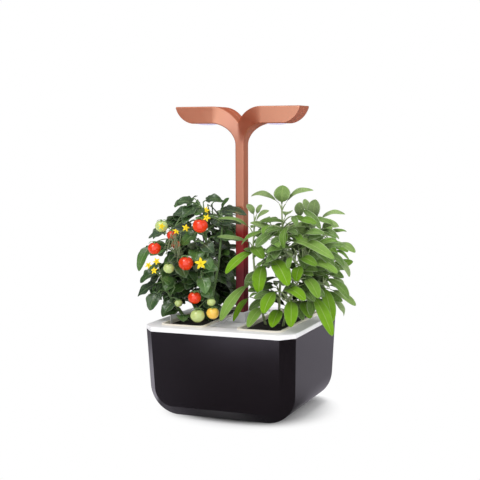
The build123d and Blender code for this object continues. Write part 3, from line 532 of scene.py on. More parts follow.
def lobed_outline(u):
    """Broad near the base, pointed, and cut into forward-leaning lobes."""
    body = np.clip((u - 0.05) / 0.95, 0, 1)
    lobe = (body * 2.5 + 0.3) % 1.0
    cut = 1 - 0.22 * np.abs(lobe - 0.60) ** 1.2 * (1.2 - 0.4 * body)
    return np.maximum(0.05 * (1 - u), np.sin(pi * body**0.66) ** 0.66 * cut)


def pointed_outline(u):
    """Widest below the middle and drawn out to a point."""
    return np.maximum(0.12 * (1 - u), np.sin(pi * u**0.75) ** 0.9)


# The shape of one kind of leaf. fold and ripple are shares of half its width, waves is the number
# of ripples along it, twist is in radians, bow is a share of its length and groove is in metres.
LeafStyle = namedtuple("LeafStyle", "outline rows ring fold ripple waves twist bow groove")
SAGE = LeafStyle(
    sage_outline, rows=20, ring=14, fold=0.26, ripple=0.09, waves=1.7, twist=0.6, bow=0.05,
    groove=0.5 * MM,
)
LEAFLET = LeafStyle(
    lobed_outline, rows=20, ring=12, fold=0.20, ripple=0.14, waves=1.6, twist=0.6, bow=0.06,
    groove=0.6 * MM,
)
SEPAL = LeafStyle(
    pointed_outline, rows=7, ring=6, fold=0.25, ripple=0.0, waves=1.0, twist=0.3, bow=0.05, groove=0.0
)
PETAL = LeafStyle(
    pointed_outline, rows=9, ring=8, fold=0.18, ripple=0.05, waves=1.0, twist=0.2, bow=0.03, groove=0.0
)


def grow_leaves(bundle, style, base, tip, face, width, arch, tint, thickness, seed, turn=1.0):
    """Adds closed leaves, all at once. Along a leaf u runs from 0 to 1 and the midrib rises by
    arch*4u(1-u). Across it v is cos t: the margin lies at half the width times the style's outline,
    the blade folds up by fold*|v| and ripples towards the margin, and sin t gives it two sides."""
    draw = np.random.default_rng(seed)
    count = len(base)
    face = np.broadcast_to(face, (count, 3))
    width, arch, tint = (np.broadcast_to(value, (count,)) for value in (width, arch, tint))
    along = tip - base
    span = np.linalg.norm(along, axis=-1)
    along = along / span[:, None]
    up = unit(face - along * dot(face, along))
    side = np.cross(up, along)
    u = (np.arange(style.rows) + 0.6) / (style.rows + 0.2)
    t = turns(style.ring)
    v = np.cos(t)
    half = width[:, None] / 2 * style.outline(u)
    angle = draw.normal(0, style.twist * turn, (count, 1)) * (u - 0.2)
    c, s = np.cos(angle)[..., None], np.sin(angle)[..., None]
    side_u = side[:, None] * c + up[:, None] * s
    up_u = up[:, None] * c - side[:, None] * s
    sway = draw.normal(0, style.bow * turn, (count, 1)) * np.sin(pi * u) * span[:, None]
    rise = arch[:, None] * 4 * u * (1 - u)
    middle = base[:, None] + along[:, None] * (span[:, None] * u)[..., None]
    middle = middle + up[:, None] * rise[..., None] + side[:, None] * sway[..., None]
    phase = draw.uniform(0, 2 * pi, (count, 1, 1))
    swing = np.sin(2 * pi * style.waves * u[:, None] + phase + np.where(v < 0, 1.9, 0.0))
    lift = half[..., None] * (style.fold * np.abs(v) + style.ripple * swing * v**2)
    lift = lift - style.groove * np.exp(-((v / 0.16) ** 2)) * style.outline(u)[:, None]
    lift = lift + thickness / 2 * np.sin(t)
    rings = middle[:, :, None] + side_u[:, :, None] * (half[..., None] * v)[..., None]
    rings = rings + up_u[:, :, None] * lift[..., None]
    uv = packed(0.5 + 0.5 * v, u[:, None])
    tint = np.clip(tint[:, None, None] * (0.75 + 0.25 * u[:, None]), 0, 1)
    bundle.add(rings, np.stack([base, tip], 1), uv, tint, under=np.sin(t) < -0.01)


def round_solid(bundle, centres, radii, rows=18, ring=24):
    """Tomatoes: a sphere flattened by 6%, with soft shoulders of five lobes and a dimple on top."""
    polar = pi * (np.arange(rows) + 0.7) / (rows + 0.4)
    turn = turns(ring)
    shoulder = np.exp(-(((polar - pi) / 0.9) ** 2))[:, None]
    reach = np.sin(polar)[:, None] * (1 + 0.03 * shoulder * np.cos(5 * turn))
    height = -np.cos(polar) * 0.94 - 0.16 * np.exp(-(((polar - pi) / 0.35) ** 2))
    ball = packed(reach * np.cos(turn), reach * np.sin(turn), height[:, None])
    rings = centres[:, None, None] + ball * radii[:, None, None, None]
    poles = centres[:, None] + np.stack([-0.94 * UP, 0.78 * UP]) * radii[:, None, None]
    tint = np.exp(-(((polar - pi) / 0.55) ** 2))[:, None]
    bundle.add(rings, poles, packed(turn / (2 * pi), (polar / pi)[:, None]), tint)


# --- Reading the frame --------------------------------------------------------
def islands(node):
    """Corner points of each separate solid of a node."""
    made = bmesh.new()
    made.from_mesh(frame["nodes"][node].data)
    bmesh.ops.remove_doubles(made, verts=made.verts, dist=0.01 * MM)
    left, found = set(made.verts), []
    while left:
        group, edge = set(), [left.pop()]
        while edge:
            vert = edge.pop()
            group.add(vert)
            near = {e.other_vert(vert) for e in vert.link_edges} & left
            left -= near
            edge += near
        found.append(np.array([vert.co[:] for vert in group]))
    made.free()
    return sorted(found, key=lambda points: tuple(points.mean(0).round(4)))


def blade_places(node, stems):
    """Base, tip, width and rise of each leaf solid: its two far corners and what lies between."""
    rows = []
    for points in islands(node):
        gaps = np.linalg.norm(points[:, None] - points[None], axis=-1)
        ends = points[list(np.unravel_index(gaps.argmax(), gaps.shape))]
        ends = ends[np.argsort([np.linalg.norm(nearest_on(stems, end) - end) for end in ends])]
        along = unit(ends[1] - ends[0])
        offset = points - ends[0]
        across = offset - dot(offset, along) * along
        up = unit(across.mean(0))
        side = np.cross(up, along)
        width, rise = np.ptp(across @ side), (across @ up).max()
        rows.append((ends[0], ends[1], up, width, rise))
    return [np.array(column) for column in zip(*rows)]


def ball_places(node):
    """Centre and radius of each round solid."""
    found = [(points.min(0), points.max(0)) for points in islands(node)]
    centres = np.array([(low + high) / 2 for low, high in found])
    return centres, np.array([(high - low).max() / 2 for low, high in found])


def nearest_on(stems, point):
    """Closest point to a place on a set of stems."""
    best = None
    for stem in stems:
        starts, runs = stem[:-1], stem[1:] - stem[:-1]
        part = np.clip(dot(point - starts, runs) / dot(runs, runs), 0, 1)
        places = starts + runs * part
        gaps = np.linalg.norm(places - point, axis=-1)
        index = gaps.argmin()
        if best is None or gaps[index] < best[0]:
            best = (gaps[index], places[index])
    return best[1]


# --- Pieces -------------------------------------------------------------------
def piece(name, mesh, material, body, replaces=()):
    """An object that rides on a body, and stands for the nodes it replaces."""
    made = bpy.data.objects.new(name, mesh)
    bpy.context.scene.collection.objects.link(made)
    mesh.materials.clear()
    mesh.materials.append(material)
    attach(made, body)
    if replaces:
        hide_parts(*replaces)
    return made


def grown(name, bundle, material, side, slot, *replaces):
    """A piece made of a bundle, which rides on one of the inserts."""
    piece(name, bundle.mesh(name), material, side + "_insert", replaces)


def finish_node(node, material):
    """Gives a node that stays as it is its finish."""
    mesh = frame["nodes"][node].data
    mesh.materials.clear()
    mesh.materials.append(material)


def body_of(node):
    """The body that a node belongs to."""
    bodies = frame["record"]["behaviour"]["bodies"]
    return next(body for body, members in bodies.items() if node in members)


SHARP = radians(28)  # folds above this are edges


def eased(node, material, width):
    """A merged copy of a node with its sharp edges rounded, which stands for it."""
    mesh = frame["nodes"][node].data.copy()
    mesh.name = node + "_eased"
    made = bmesh.new()
    made.from_mesh(mesh)
    bmesh.ops.remove_doubles(made, verts=made.verts, dist=0.005 * MM)
    bmesh.ops.dissolve_limit(made, angle_limit=radians(0.6), verts=made.verts, edges=made.edges)
    made.to_mesh(mesh)
    made.free()
    if "custom_normal" in mesh.attributes:
        mesh.attributes.remove(mesh.attributes["custom_normal"])
    mesh.shade_smooth()
    mesh.set_sharp_from_angle(angle=SHARP)
    copy = piece(node + "_eased", mesh, material, body_of(node), [node])
    bevel = copy.modifiers.new("edges", "BEVEL")
    bevel.width = width
    bevel.segments = 2
    bevel.limit_method = "ANGLE"
    bevel.angle_limit = SHARP
    bevel.harden_normals = True


# --- Steps for the moulded parts ----------------------------------------------
class GardenOperator:
    """Options that every step shares."""

    bl_options = {"REGISTER", "UNDO"}


class GARDEN_OT_base(GardenOperator, bpy.types.Operator):
    """Finish the housing, its feet and the water tank"""

    bl_idname = "garden.base"
    bl_label = "Base"

    def execute(self, context):
        look = context.scene.garden_finish
        eased("outer_housing", gloss_black(look.housing), look.edge_round)
        finish_node("rubber_feet", moulded("soft_rubber", paint(26, 26, 27), 0.85, grain=360.0))
        finish_node("water_tank", moulded("tank_grey", paint(150, 152, 156), 0.4))
        return {"FINISHED"}


class GARDEN_OT_deck(GardenOperator, bpy.types.Operator):
    """Finish the deck, the mast socket, the gauge and the inserts' trays"""

    bl_idname = "garden.deck"
    bl_label = "Deck"

    def execute(self, context):
        look = context.scene.garden_finish
        small_round = look.edge_round * 0.6
        eased("top_deck", moulded("deck_white", look.deck, 0.34), small_round)
        eased("mast_socket", moulded("socket_white", paint(214, 214, 218), 0.4), look.edge_round * 0.5)
        eased("gauge_knob", moulded("gauge_grey", paint(142, 143, 148), 0.45), small_round)
        ivory = moulded("lip_ivory", look.lips, 0.38)
        for node in ("left_basket", "right_basket"):
            eased(node, ivory, small_round)
        foam = moulded("float_foam", paint(226, 227, 226), 0.7, grain=240.0, depth=0.2 * MM)
        finish_node("level_float", foam)
        finish_node("float_stem", moulded("stem_plastic", paint(226, 226, 222), 0.4))
        finish_node("socket_screws", rolled_metal("screw_steel", paint(196, 196, 200), 0.3))
        eased("plant_marker", moulded("marker_white", paint(246, 246, 244), 0.6), 0.15 * MM)
        return {"FINISHED"}


class GARDEN_OT_lamp(GardenOperator, bpy.types.Operator):
    """Finish the mast, its arms, the diffusers and what they hold"""

    bl_idname = "garden.lamp"
    bl_label = "Lamp"

    def execute(self, context):
        look = context.scene.garden_finish
        copper = copper_coat(look.lamp, look.lamp_leaf_shade, look.lamp_foot_shade)
        for node in ("mast_front_shell", "mast_rear_shell"):
            eased(node, copper, 0.35 * MM)
        opal = opal_diffuser(look.light)
        board = moulded("board_white", paint(225, 226, 224), 0.5)
        spreader = rolled_metal("spreader_aluminium", paint(215, 216, 218), 0.35)
        for side in ("left", "right"):
            finish_node(side + "_lens", opal)
            finish_node(side + "_led_board", board)
            finish_node(side + "_heat_spreader", spreader)
        for node, name, screen, roughness in (
            ("led_chips", "chip_phosphor", (240, 216, 110), 0.3),
            ("lamp_wires", "wire_sheath", (34, 34, 36), 0.5),
            ("control_board", "board_green", (28, 92, 52), 0.4),
            ("tact_switch", "switch_black", (24, 24, 25), 0.45),
            ("dc_jack", "inlet_black", (22, 22, 23), 0.4),
        ):
            finish_node(node, moulded(name, paint(*screen), roughness))
        finish_node("shell_screws", rolled_metal("shell_screw_steel", paint(188, 188, 192), 0.3))
        # The button takes the mast's painted-shade red, a little darker.
        eased("light_button", moulded("button_copper", shade(look.lamp_leaf_shade, 0.8), 0.35), 0.3 * MM)
        return {"FINISHED"}


class GARDEN_OT_medium(GardenOperator, bpy.types.Operator):
    """Fill both inserts with crumbly medium"""

    bl_idname = "garden.medium"
    bl_label = "Growing medium"

    def execute(self, context):
        fibre = damp_fibre("damp_fibre", context.scene.garden_finish.soil)
        white_felt = felt("wick_felt", paint(228, 228, 222))
        for side in ("left", "right"):
            finish_node(side + "_wick", white_felt)
            finish_node(side + "_medium", fibre)
            crumbs = Bundle()
            crumb_bed(crumbs, *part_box(side + "_medium"))
            grown(side + "_crumbs", crumbs, fibre, side, "medium_brown")
        return {"FINISHED"}


def crumb_bed(bundle, low, high, rows=44, ring=120, height=1.6 * MM, seed=5):
    """Uneven top of the medium: rings that grow from the middle to a rounded rectangle, heaped by
    a sum of sine waves, and close under it."""
    draw = np.random.default_rng(seed)
    middle = (np.array(low) + np.array(high)) / 2
    margin = 1.2 * MM
    half = (np.array(high) - np.array(low))[:2] / 2 - margin
    turn = turns(ring)
    circle = spokes(turn, 0)[:, :2]
    squareness = 0.25
    edge = half * np.sign(circle) * np.abs(circle) ** squareness
    out = np.linspace(0.03, 1, rows)
    reach = np.concatenate([out, out[::-1]])[::-1]
    flat = middle[:2] + reach[:, None, None] * edge
    top = np.zeros(flat.shape[:2])
    for size in (300.0, 700.0, 1500.0):
        for _ in range(3):
            way = unit(draw.normal(size=2)) * size
            top += np.sin(flat @ way + draw.uniform(0, 2 * pi)) * 120 / size
    upper = (np.arange(2 * rows) >= rows)[:, None]
    rim = np.clip((1 - reach[:, None]) * 12, 0, 1)
    sunk = high[2] - 0.3 * MM
    z = np.where(upper, high[2] + height * (0.5 + 0.35 * top) * rim, sunk)
    z = np.maximum(z, sunk + upper * 0.05 * MM)
    rings = np.concatenate([flat, z[..., None]], -1)[None]
    poles = np.array([[[*middle[:2], sunk], [*middle[:2], z[-1].mean()]]])
    bundle.add(rings, poles)


# --- Steps for the plants -----------------------------------------------------
def stem_lines(lines):
    """Smooth stems through points that are given in millimetres."""
    return [smooth_path(np.array(line) * MM, 24) for line in lines]


SAGE_STEMS = stem_lines([
    [(42, -20, 112), (33, -32, 165), (27, -32, 215), (28, -30, 264)],
    [(54, -8, 112), (60, -20, 170), (63, -18, 225), (59, -10, 278)],
    [(64, -26, 112), (82, -42, 158), (98, -40, 196)],
    [(68, 8, 112), (90, 4, 175), (101, 4, 225), (97, 9, 258)],
    [(52, 30, 112), (56, 44, 170), (60, 50, 232)],
    [(70, -6, 112), (76, -8, 132), (108, -12, 165), (126, -4, 200), (127, -1, 230)],
])
TOMATO_STEMS = stem_lines([
    [(-50, -8, 112), (-47, -22, 170), (-42, -30, 225), (-50, -18, 270)],
    [(-60, 0, 112), (-76, -22, 165), (-88, -30, 215), (-90, -26, 248)],
    [(-44, -16, 112), (-30, -40, 150), (-22, -36, 200), (-20, -24, 258)],
    [(-58, 14, 112), (-66, 34, 175), (-62, 40, 240)],
    [(-66, -26, 112), (-84, -42, 145), (-98, -46, 172)],
])

# Where small leaves fill in, in millimetres: low and high corners of the rooms that they stay in
# and of the room that the other insert's leaves sweep as it is lifted, and the fills themselves.
SAGE_ROOM = ((16, -88, 130), (154, 78, 300))
TOMATO_ROOM = ((-134, -56, 127), (-11, 70, 292))
SCREEN_ROOM = ((-62, -84, 127), (-12, -30, 270))
SAGE_SWEEP = ((-28, -60, 150), (0, -26, 400))
SAGE_FILL = dict(
    centre=(72, -8, 205), radii=(58, 58, 78), reach=(26, 44), droop=(-0.9, 0.5),
    width_share=(0.28, 0.38), seed=11,
)
TOMATO_FILL = dict(
    centre=(-62, -6, 205), radii=(56, 56, 82), reach=(28, 42), droop=(-1.2, 0.1),
    width_share=(0.6, 0.78), seed=12,
)
SCREEN_FILL = dict(
    centre=(-36, -62, 202), radii=(18, 8, 48), count=26, reach=(26, 36), droop=(-1.2, 0.0),
    width_share=(0.6, 0.75), seed=13,
)
# Four leaves that cross the mast: the heights of their bases and how far each one reaches.
CROSSING_HEIGHTS = (232, 212, 194, 176)
CROSSING_REACHES = ((20, -6, -13), (19, -8, -16), (21, -6, -12), (18, -7, -17))
# A leaf's solid is plainer than the leaf, so the leaf is this much wider than its solid.
SAGE_BREADTH = 1.2
TOMATO_BREADTH = 1.5


def stem_tubes(bundle, stems, radius):
    """Main stems: tubes that thin upwards."""
    taper = np.linspace(1.0, 0.55, len(stems[0])) * radius
    sweep_tubes(bundle, np.array(stems), taper, ring=10)


def stalk_tubes(bundle, stems, ends, drop, radius, seed):
    """Arching stalks. Each leaves the stems where they are nearest to a point drop below its end."""
    starts = np.array([nearest_on(stems, end - drop * UP) for end in ends])
    gap = np.linalg.norm(ends - starts, axis=-1)
    draw = np.random.default_rng(seed)
    lift = gap * draw.uniform(0.02, 0.12, len(ends))
    taper = np.linspace(1.0, 0.6, 7) * radius
    sweep_tubes(bundle, arched_paths(starts, ends, lift), taper, ring=6)


def inside(points, room):
    """Which of the points lie between a room's low and high corners."""
    low, high = np.array(room) * MM
    return ((points > low) & (points < high)).all(-1)


def keep(places, room, shunned=None):
    """Drops the leaves that reach out of a room, or into one that something else needs."""
    base, tip = places[:2]
    good = np.ones(len(base), bool)
    for points in (base, (base + tip) / 2, tip):
        good &= inside(points, room)
        if shunned:
            good &= ~inside(points, shunned)
    return [column[good] for column in places]


def inner_leaves(centre, radii, count, reach, droop, width_share, seed):
    """Random leaves whose bases fill an ellipsoid and which lean outwards from its axis."""
    draw = np.random.default_rng(seed)
    place = unit(draw.normal(size=(count, 3))) * draw.uniform(0.1, 1.0, (count, 1)) ** 0.45
    base = (np.array(centre) + place * np.array(radii)) * MM
    turn = np.arctan2(place[:, 1], place[:, 0]) + draw.normal(0, 0.6, count)
    way = spokes(turn, draw.uniform(*droop, count))
    span = draw.uniform(*reach, count) * MM
    tip = base + unit(way) * span[:, None]
    up = 0.3 * spokes(turn, 0) + np.array([0, -0.7, 1]) + draw.normal(0, 0.25, (count, 3))
    width = span * draw.uniform(*width_share, count)
    return [base, tip, unit(up), width, span * draw.uniform(0.06, 0.16, count)]


def foliage(name, style, places, tint, look, seed, skin, side, slot, *replaces):
    """One piece made of many leaves."""
    leaves = Bundle()
    grow_leaves(leaves, style, *places, tint, look.blade, seed, look.turn)
    grown(name, leaves, skin, side, slot, *replaces)


class GARDEN_OT_sage(GardenOperator, bpy.types.Operator):
    """Grow the sage in the right insert"""

    bl_idname = "garden.sage"
    bl_label = "Sage"

    def execute(self, context):
        look = context.scene.garden_plants
        large = blade_places("sage_leaves", SAGE_STEMS)
        large[3] = large[3] * SAGE_BREADTH
        small = keep(inner_leaves(count=look.sage_fill, **SAGE_FILL), SAGE_ROOM)
        low_front = ramp(large[1][:, 2], 0.245, 0.195) * ramp(large[1][:, 1], -0.010, -0.040)
        high = 0.3 * ramp(small[1][:, 2], 0.18, 0.26)
        for name, places, old, fresh, seed, replaces in (
            ("sage_foliage", large, look.sage_grey, low_front, 21, ["sage_leaves"]),
            ("sage_inner_foliage", small, look.sage_deep, high, 22, []),
        ):
            variety = np.random.default_rng(seed).normal(0, 0.22, len(fresh))
            tint = np.clip(fresh + variety, 0.03, 1)
            skin = leaf_skin(name + "_skin", old, look.sage_fresh, **SAGE_SKIN)
            slot = "sage_leaf_green"
            foliage(name, SAGE, places, tint, look, seed, skin, "right", slot, *replaces)
        wood = Bundle()
        stem_tubes(wood, SAGE_STEMS, radius=1.9 * MM)
        bases = np.concatenate([large[0], small[0]])
        stalk_tubes(wood, SAGE_STEMS, bases, drop=9 * MM, radius=1.0 * MM, seed=31)
        bark = stem_skin("sage_stem_skin", 146, 162, 112)
        grown("sage_shoots", wood, bark, "right", "sage_stem_green", "sage_stems", "sage_stalks")
        return {"FINISHED"}


def leaflets(places, seed, pairs):
    """A compound leaf for each place: an end leaflet and pairs of side leaflets on its rachis."""
    base, tip, up, width, arch = places
    draw = np.random.default_rng(seed)
    along = tip - base
    span = np.linalg.norm(along, axis=-1, keepdims=True)
    along = along / span
    up = unit(up - along * dot(up, along))
    side = np.cross(up, along)
    count = len(base)

    def on_rachis(at):
        return base + along * span * at + up * (4 * at * (1 - at) * arch)[:, None]

    rows = [[on_rachis(0.18), tip, up, width, arch * 0.6]]
    for at, size in pairs:
        for hand in (-1, 1):
            lean = draw.uniform(0.45, 0.9, (count, 1))
            sag = draw.uniform(-0.45, 0.1, (count, 1))
            way = unit(along * lean + side * hand + up * sag)
            reach = width[:, None] * size * draw.uniform(0.8, 1.15, (count, 1))
            root = on_rachis(at)
            face = unit(up + side * hand * 0.2)
            rows.append([root, root + way * reach, face, reach[:, 0] * 0.62, reach[:, 0] * 0.12])
    return [np.concatenate(column) for column in zip(*rows)]


def crossing_leaves():
    """The leaves that reach across the mast from the front of the plant."""
    base = np.array([(-36, -61, height) for height in CROSSING_HEIGHTS]) * MM
    tip = base + np.array(CROSSING_REACHES) * MM
    up = np.broadcast_to(unit(np.array([0.2, -0.8, 0.6])), base.shape)
    count = len(base)
    return [base, tip, up, np.full(count, 20 * MM), np.full(count, 3 * MM)]


def petioles(bundle, places):
    """Thin stalks along the first stretch of each midrib, which rises by arch*4s(1-s)."""
    base, tip, up, _, arch = places
    along = tip - base
    up = unit(up - along * dot(up, along) / dot(along, along))
    s = np.linspace(0, 0.22, 7)[None, :, None]
    rise = 4 * s * (1 - s) * arch[:, None, None]
    paths = base[:, None] + along[:, None] * s + up[:, None] * rise
    sweep_tubes(bundle, paths, np.linspace(0.9, 0.5, 7) * MM, ring=6)


class GARDEN_OT_tomato(GardenOperator, bpy.types.Operator):
    """Grow the tomato plant's stems and leaves in the left insert"""

    bl_idname = "garden.tomato"
    bl_label = "Tomato plant"

    def execute(self, context):
        look = context.scene.garden_plants
        large = blade_places("tomato_leaves", TOMATO_STEMS)
        large[3] = large[3] * TOMATO_BREADTH
        fill = keep(inner_leaves(count=look.tomato_fill, **TOMATO_FILL), TOMATO_ROOM, SAGE_SWEEP)
        screen = keep(inner_leaves(**SCREEN_FILL), SCREEN_ROOM, SAGE_SWEEP)
        small = [np.concatenate(parts) for parts in zip(fill, screen, crossing_leaves())]
        draw = np.random.default_rng(3)
        for name, group, pairs, seed, replaces in (
            ("tomato_foliage", large, [(0.20, 0.55)], 41, ["tomato_leaves"]),
            ("tomato_inner_foliage", small, [], 42, []),
        ):
            places = leaflets(group, seed, pairs)
            tint = np.clip(draw.normal(0.22, 0.2, len(places[0])), 0, 1)
            skin = leaf_skin(name + "_skin", look.tomato_dark, look.tomato_fresh, **TOMATO_SKIN)
            slot = "tomato_leaf_green"
            foliage(name, LEAFLET, places, tint, look, seed, skin, "left", slot, *replaces)
        wood = Bundle()
        stem_tubes(wood, TOMATO_STEMS, radius=2.4 * MM)
        bases = np.concatenate([large[0], small[0]])
        stalk_tubes(wood, TOMATO_STEMS, bases, drop=10 * MM, radius=1.1 * MM, seed=32)
        for group in (large, small):
            petioles(wood, group)
        bark = stem_skin("tomato_stem_skin", 92, 122, 62)
        grown("tomato_shoots", wood, bark, "left", "tomato_stem_green", "tomato_stems", "tomato_stalks")
        return {"FINISHED"}


FRUIT_TOP = 0.8 * UP  # where the calyx sits, in fruit radii from the middle


def rosette(bundle, style, centres, rays, face, span, breadth, rise, tint, thickness, seed):
    """Petals or sepals along the rays of each centre. rays is centres by petals by 3; breadth and
    rise are shares of the span."""
    base = np.broadcast_to(centres[:, None], rays.shape)
    face = np.broadcast_to(face, rays.shape)
    flat = [value.reshape(-1, 3) for value in (base, base + rays, face)]
    grow_leaves(bundle, style, *flat, span * breadth, span * rise, tint, thickness, seed)


def calyx(bundle, centres, radii, seed):
    """Six narrow sepals that spread from the top of each fruit, arch up in the middle and dip at their
    tips.
    """
    draw = np.random.default_rng(seed)
    count, sepals = len(centres), 6
    turn = turns(sepals) + draw.uniform(0, 1, (count, 1)) * 2 * pi / sepals
    top = centres + FRUIT_TOP * radii[:, None]
    reach = radii[:, None, None] * draw.uniform(0.8, 1.05, (count, sepals, 1))
    rays = spokes(turn, 0) * reach - 0.10 * UP * radii[:, None, None]
    span = reach.reshape(-1)
    blade = dict(breadth=0.30, rise=0.26, tint=0.6, thickness=0.4 * MM)
    rosette(bundle, SEPAL, top, rays, UP, span, seed=seed, **blade)


class GARDEN_OT_fruit(GardenOperator, bpy.types.Operator):
    """Hang the fruit on the tomato plant"""

    bl_idname = "garden.fruit"
    bl_label = "Fruit"

    def execute(self, context):
        look = context.scene.garden_plants
        ripe = ball_places("ripe_tomatoes")
        unripe = ball_places("unripe_tomatoes")
        rightmost = unripe[0][:, 0] == unripe[0][:, 0].max()
        green, turning = ([column[chosen] for column in unripe] for chosen in (~rightmost, rightmost))
        for name, places, tone, top_tone, slot, node in (
            ("ripe_fruit", ripe, look.ripe, (236, 70, 20), "tomato_red", "ripe_tomatoes"),
            ("green_fruit", green, look.unripe, (150, 178, 84), "tomato_green", "unripe_tomatoes"),
            ("turning_fruit", turning, look.turning, (206, 206, 90), "tomato_green", "unripe_tomatoes"),
        ):
            fruit = Bundle()
            round_solid(fruit, *places)
            grown(name, fruit, fruit_skin(name + "_skin", tone, paint(*top_tone)), "left", slot, node)
        centres, radii = (np.concatenate(column) for column in zip(ripe, unripe))
        stalks = Bundle()
        calyx(stalks, centres, radii, seed=51)
        tops = centres + FRUIT_TOP * radii[:, None]
        stalk_tubes(stalks, TOMATO_STEMS, tops, drop=-6 * MM, radius=0.9 * MM, seed=52)
        grown("fruit_stalks", stalks, stem_skin("sepal_skin", 96, 132, 58), "left", "tomato_stem_green")
        return {"FINISHED"}


LARGEST_BLOSSOM = np.array([-30, -76, 206]) * MM
LARGEST_REACH = 8.6 * MM  # from the middle to the petals' tips
BLOSSOM_REACH = 5.3 * MM
SPENT_BLOSSOMS = np.array([-72, -68, 239]) * MM


class GARDEN_OT_blossom(GardenOperator, bpy.types.Operator):
    """Open the yellow blossoms on the tomato plant"""

    bl_idname = "garden.blossom"
    bl_label = "Blossom"

    def execute(self, context):
        look = context.scene.garden_plants
        centres = np.array([points.mean(0) for points in islands("tomato_flowers")])
        draw = np.random.default_rng(61)
        count, petals = len(centres), 5
        face = unit(np.array([0.35, -0.9, 0.25]) + draw.normal(0, 0.5, (count, 3)))
        largest = np.linalg.norm(centres - LARGEST_BLOSSOM, axis=-1).argmin()
        face[largest] = unit(np.array([0.3, -0.95, 0.1]))
        size = np.full(count, BLOSSOM_REACH)
        size[largest] = LARGEST_REACH
        side = unit(np.cross(face, UP))
        up = np.cross(side, face)
        turn = turns(petals) + draw.uniform(-0.5, 0.5, (count, 1))
        turn[largest] = turns(petals) + 0.1
        out = side[:, None] * np.sin(turn)[..., None] + up[:, None] * np.cos(turn)[..., None]
        rays = (out - face[:, None] * 0.12) * size[:, None, None]
        span = np.repeat(size, petals)
        bloom, cones, threads, spent = (Bundle() for _ in range(4))
        blade = dict(breadth=0.5, rise=0.08, tint=0.5, thickness=0.35 * MM)
        rosette(bloom, PETAL, centres, rays, face[:, None], span, seed=62, **blade)
        petal = petal_skin(look.petal)
        grown("blossoms", bloom, petal, "left", "flower_yellow", "tomato_flowers")
        s = np.linspace(0, 1, 6)
        paths = centres[:, None] + face[:, None] * (s[None, :, None] * size[:, None, None] * 0.55)
        sweep_tubes(cones, paths, size[:, None] * 0.17 * (1 - 0.6 * s), ring=8)
        grown("anthers", cones, petal_skin(shade(look.petal, 0.8)), "left", "flower_yellow")
        backs = centres - face * 0.8 * MM
        stalk_tubes(threads, TOMATO_STEMS, backs, drop=0.0, radius=0.6 * MM, seed=63)
        green = stem_skin("thread_skin", 112, 140, 70)
        grown("blossom_stalks", threads, green, "left", "tomato_stem_green")
        spent_truss(spent, SPENT_BLOSSOMS, count=18, seed=64)
        dry = stem_skin("dry_truss_skin", 112, 124, 84)
        grown("spent_trusses", spent, dry, "left", "tomato_stem_green")
        return {"FINISHED"}


def spent_truss(bundle, root, count, seed):
    """Fine stalks that arch out and hang from one place, each ending in a withered calyx."""
    draw = np.random.default_rng(seed)
    starts = root + draw.normal(0, 1, (count, 3)) * np.array([4, 2, 3]) * MM
    ends = root + draw.uniform((-14, -8, -42), (14, 2, -12), (count, 3)) * MM
    sweep_tubes(bundle, arched_paths(starts, ends, 5 * MM), 0.5 * MM, ring=6)
    radii = np.full(count, 2.4 * MM)
    calyx(bundle, ends - FRUIT_TOP * radii[:, None], radii, seed + 1)


# --- Stage --------------------------------------------------------------------
CAMERA_PLACE = (0.5402, -1.3674, 0.3723)
CAMERA_TURN = (84.5060, 0.1772, 21.7137)  # degrees about x, y and z
CAMERA_LENS = 81.46
LAMPS_AIM = (0, 0, 0.2)


def soft_lamp(name, place, size, watts, mirrored=True):
    """A round area lamp that faces the middle of the object."""
    light = bpy.data.lights.new(name, "AREA")
    light.shape = "DISK"
    light.size = size
    light.energy = watts
    made = bpy.data.objects.new(name, light)
    made.location = place
    made.rotation_euler = (Vector(LAMPS_AIM) - Vector(place)).to_track_quat("-Z", "Y").to_euler()
    made.visible_glossy = mirrored
    bpy.context.scene.collection.objects.link(made)


def surroundings(nodes, way):
    """Brightness mirrored from each way: bright behind the object, above it and in front of it on
    the right, and dark in front of it on the left."""
    x, y, z = way
    rear = nodes.times(nodes.between(y, -0.3, 0.5), nodes.between(x, -0.40, 0.35, 0.15, 0.44))
    low_step = nodes.between(x, -0.72, -0.50, 0.0, 0.26)
    high_step = nodes.between(x, -0.40, -0.25, 0.0, 1.44)
    front = nodes.times(nodes.math("ADD", low_step, high_step), nodes.between(y, -0.4, -0.85))
    above = nodes.between(z, 0.45, 0.85, 0.0, 0.35)
    return nodes.math("ADD", nodes.math("ADD", rear, front), above)


def studio_sky(level):
    """Even light all round; it looks white, and gloss mirrors the surroundings in it."""
    world = bpy.data.worlds.new("studio_sky")
    bpy.context.scene.world = world
    world.cycles.sampling_method = "NONE"
    world.use_nodes = True
    world.node_tree.nodes.clear()
    nodes = Nodes(world.node_tree)
    path = nodes.node("LightPath").outputs
    way = nodes.axes(nodes.node("TexCoord").outputs["Generated"])
    plain, mirror, seen = (
        nodes.node("Background", {"Color": (1, 1, 1, 1), "Strength": strength}).outputs[0]
        for strength in (level, surroundings(nodes, way), 1.0)
    )
    mirrored = nodes.larger(path["Is Glossy Ray"], path["Is Transmission Ray"])
    unseen = nodes.node("MixShader", {0: mirrored, 1: plain, 2: mirror}).outputs[0]
    shown = nodes.node("MixShader", {0: path["Is Camera Ray"], 1: unseen, 2: seen}).outputs[0]
    nodes.node("OutputWorld", {0: shown})


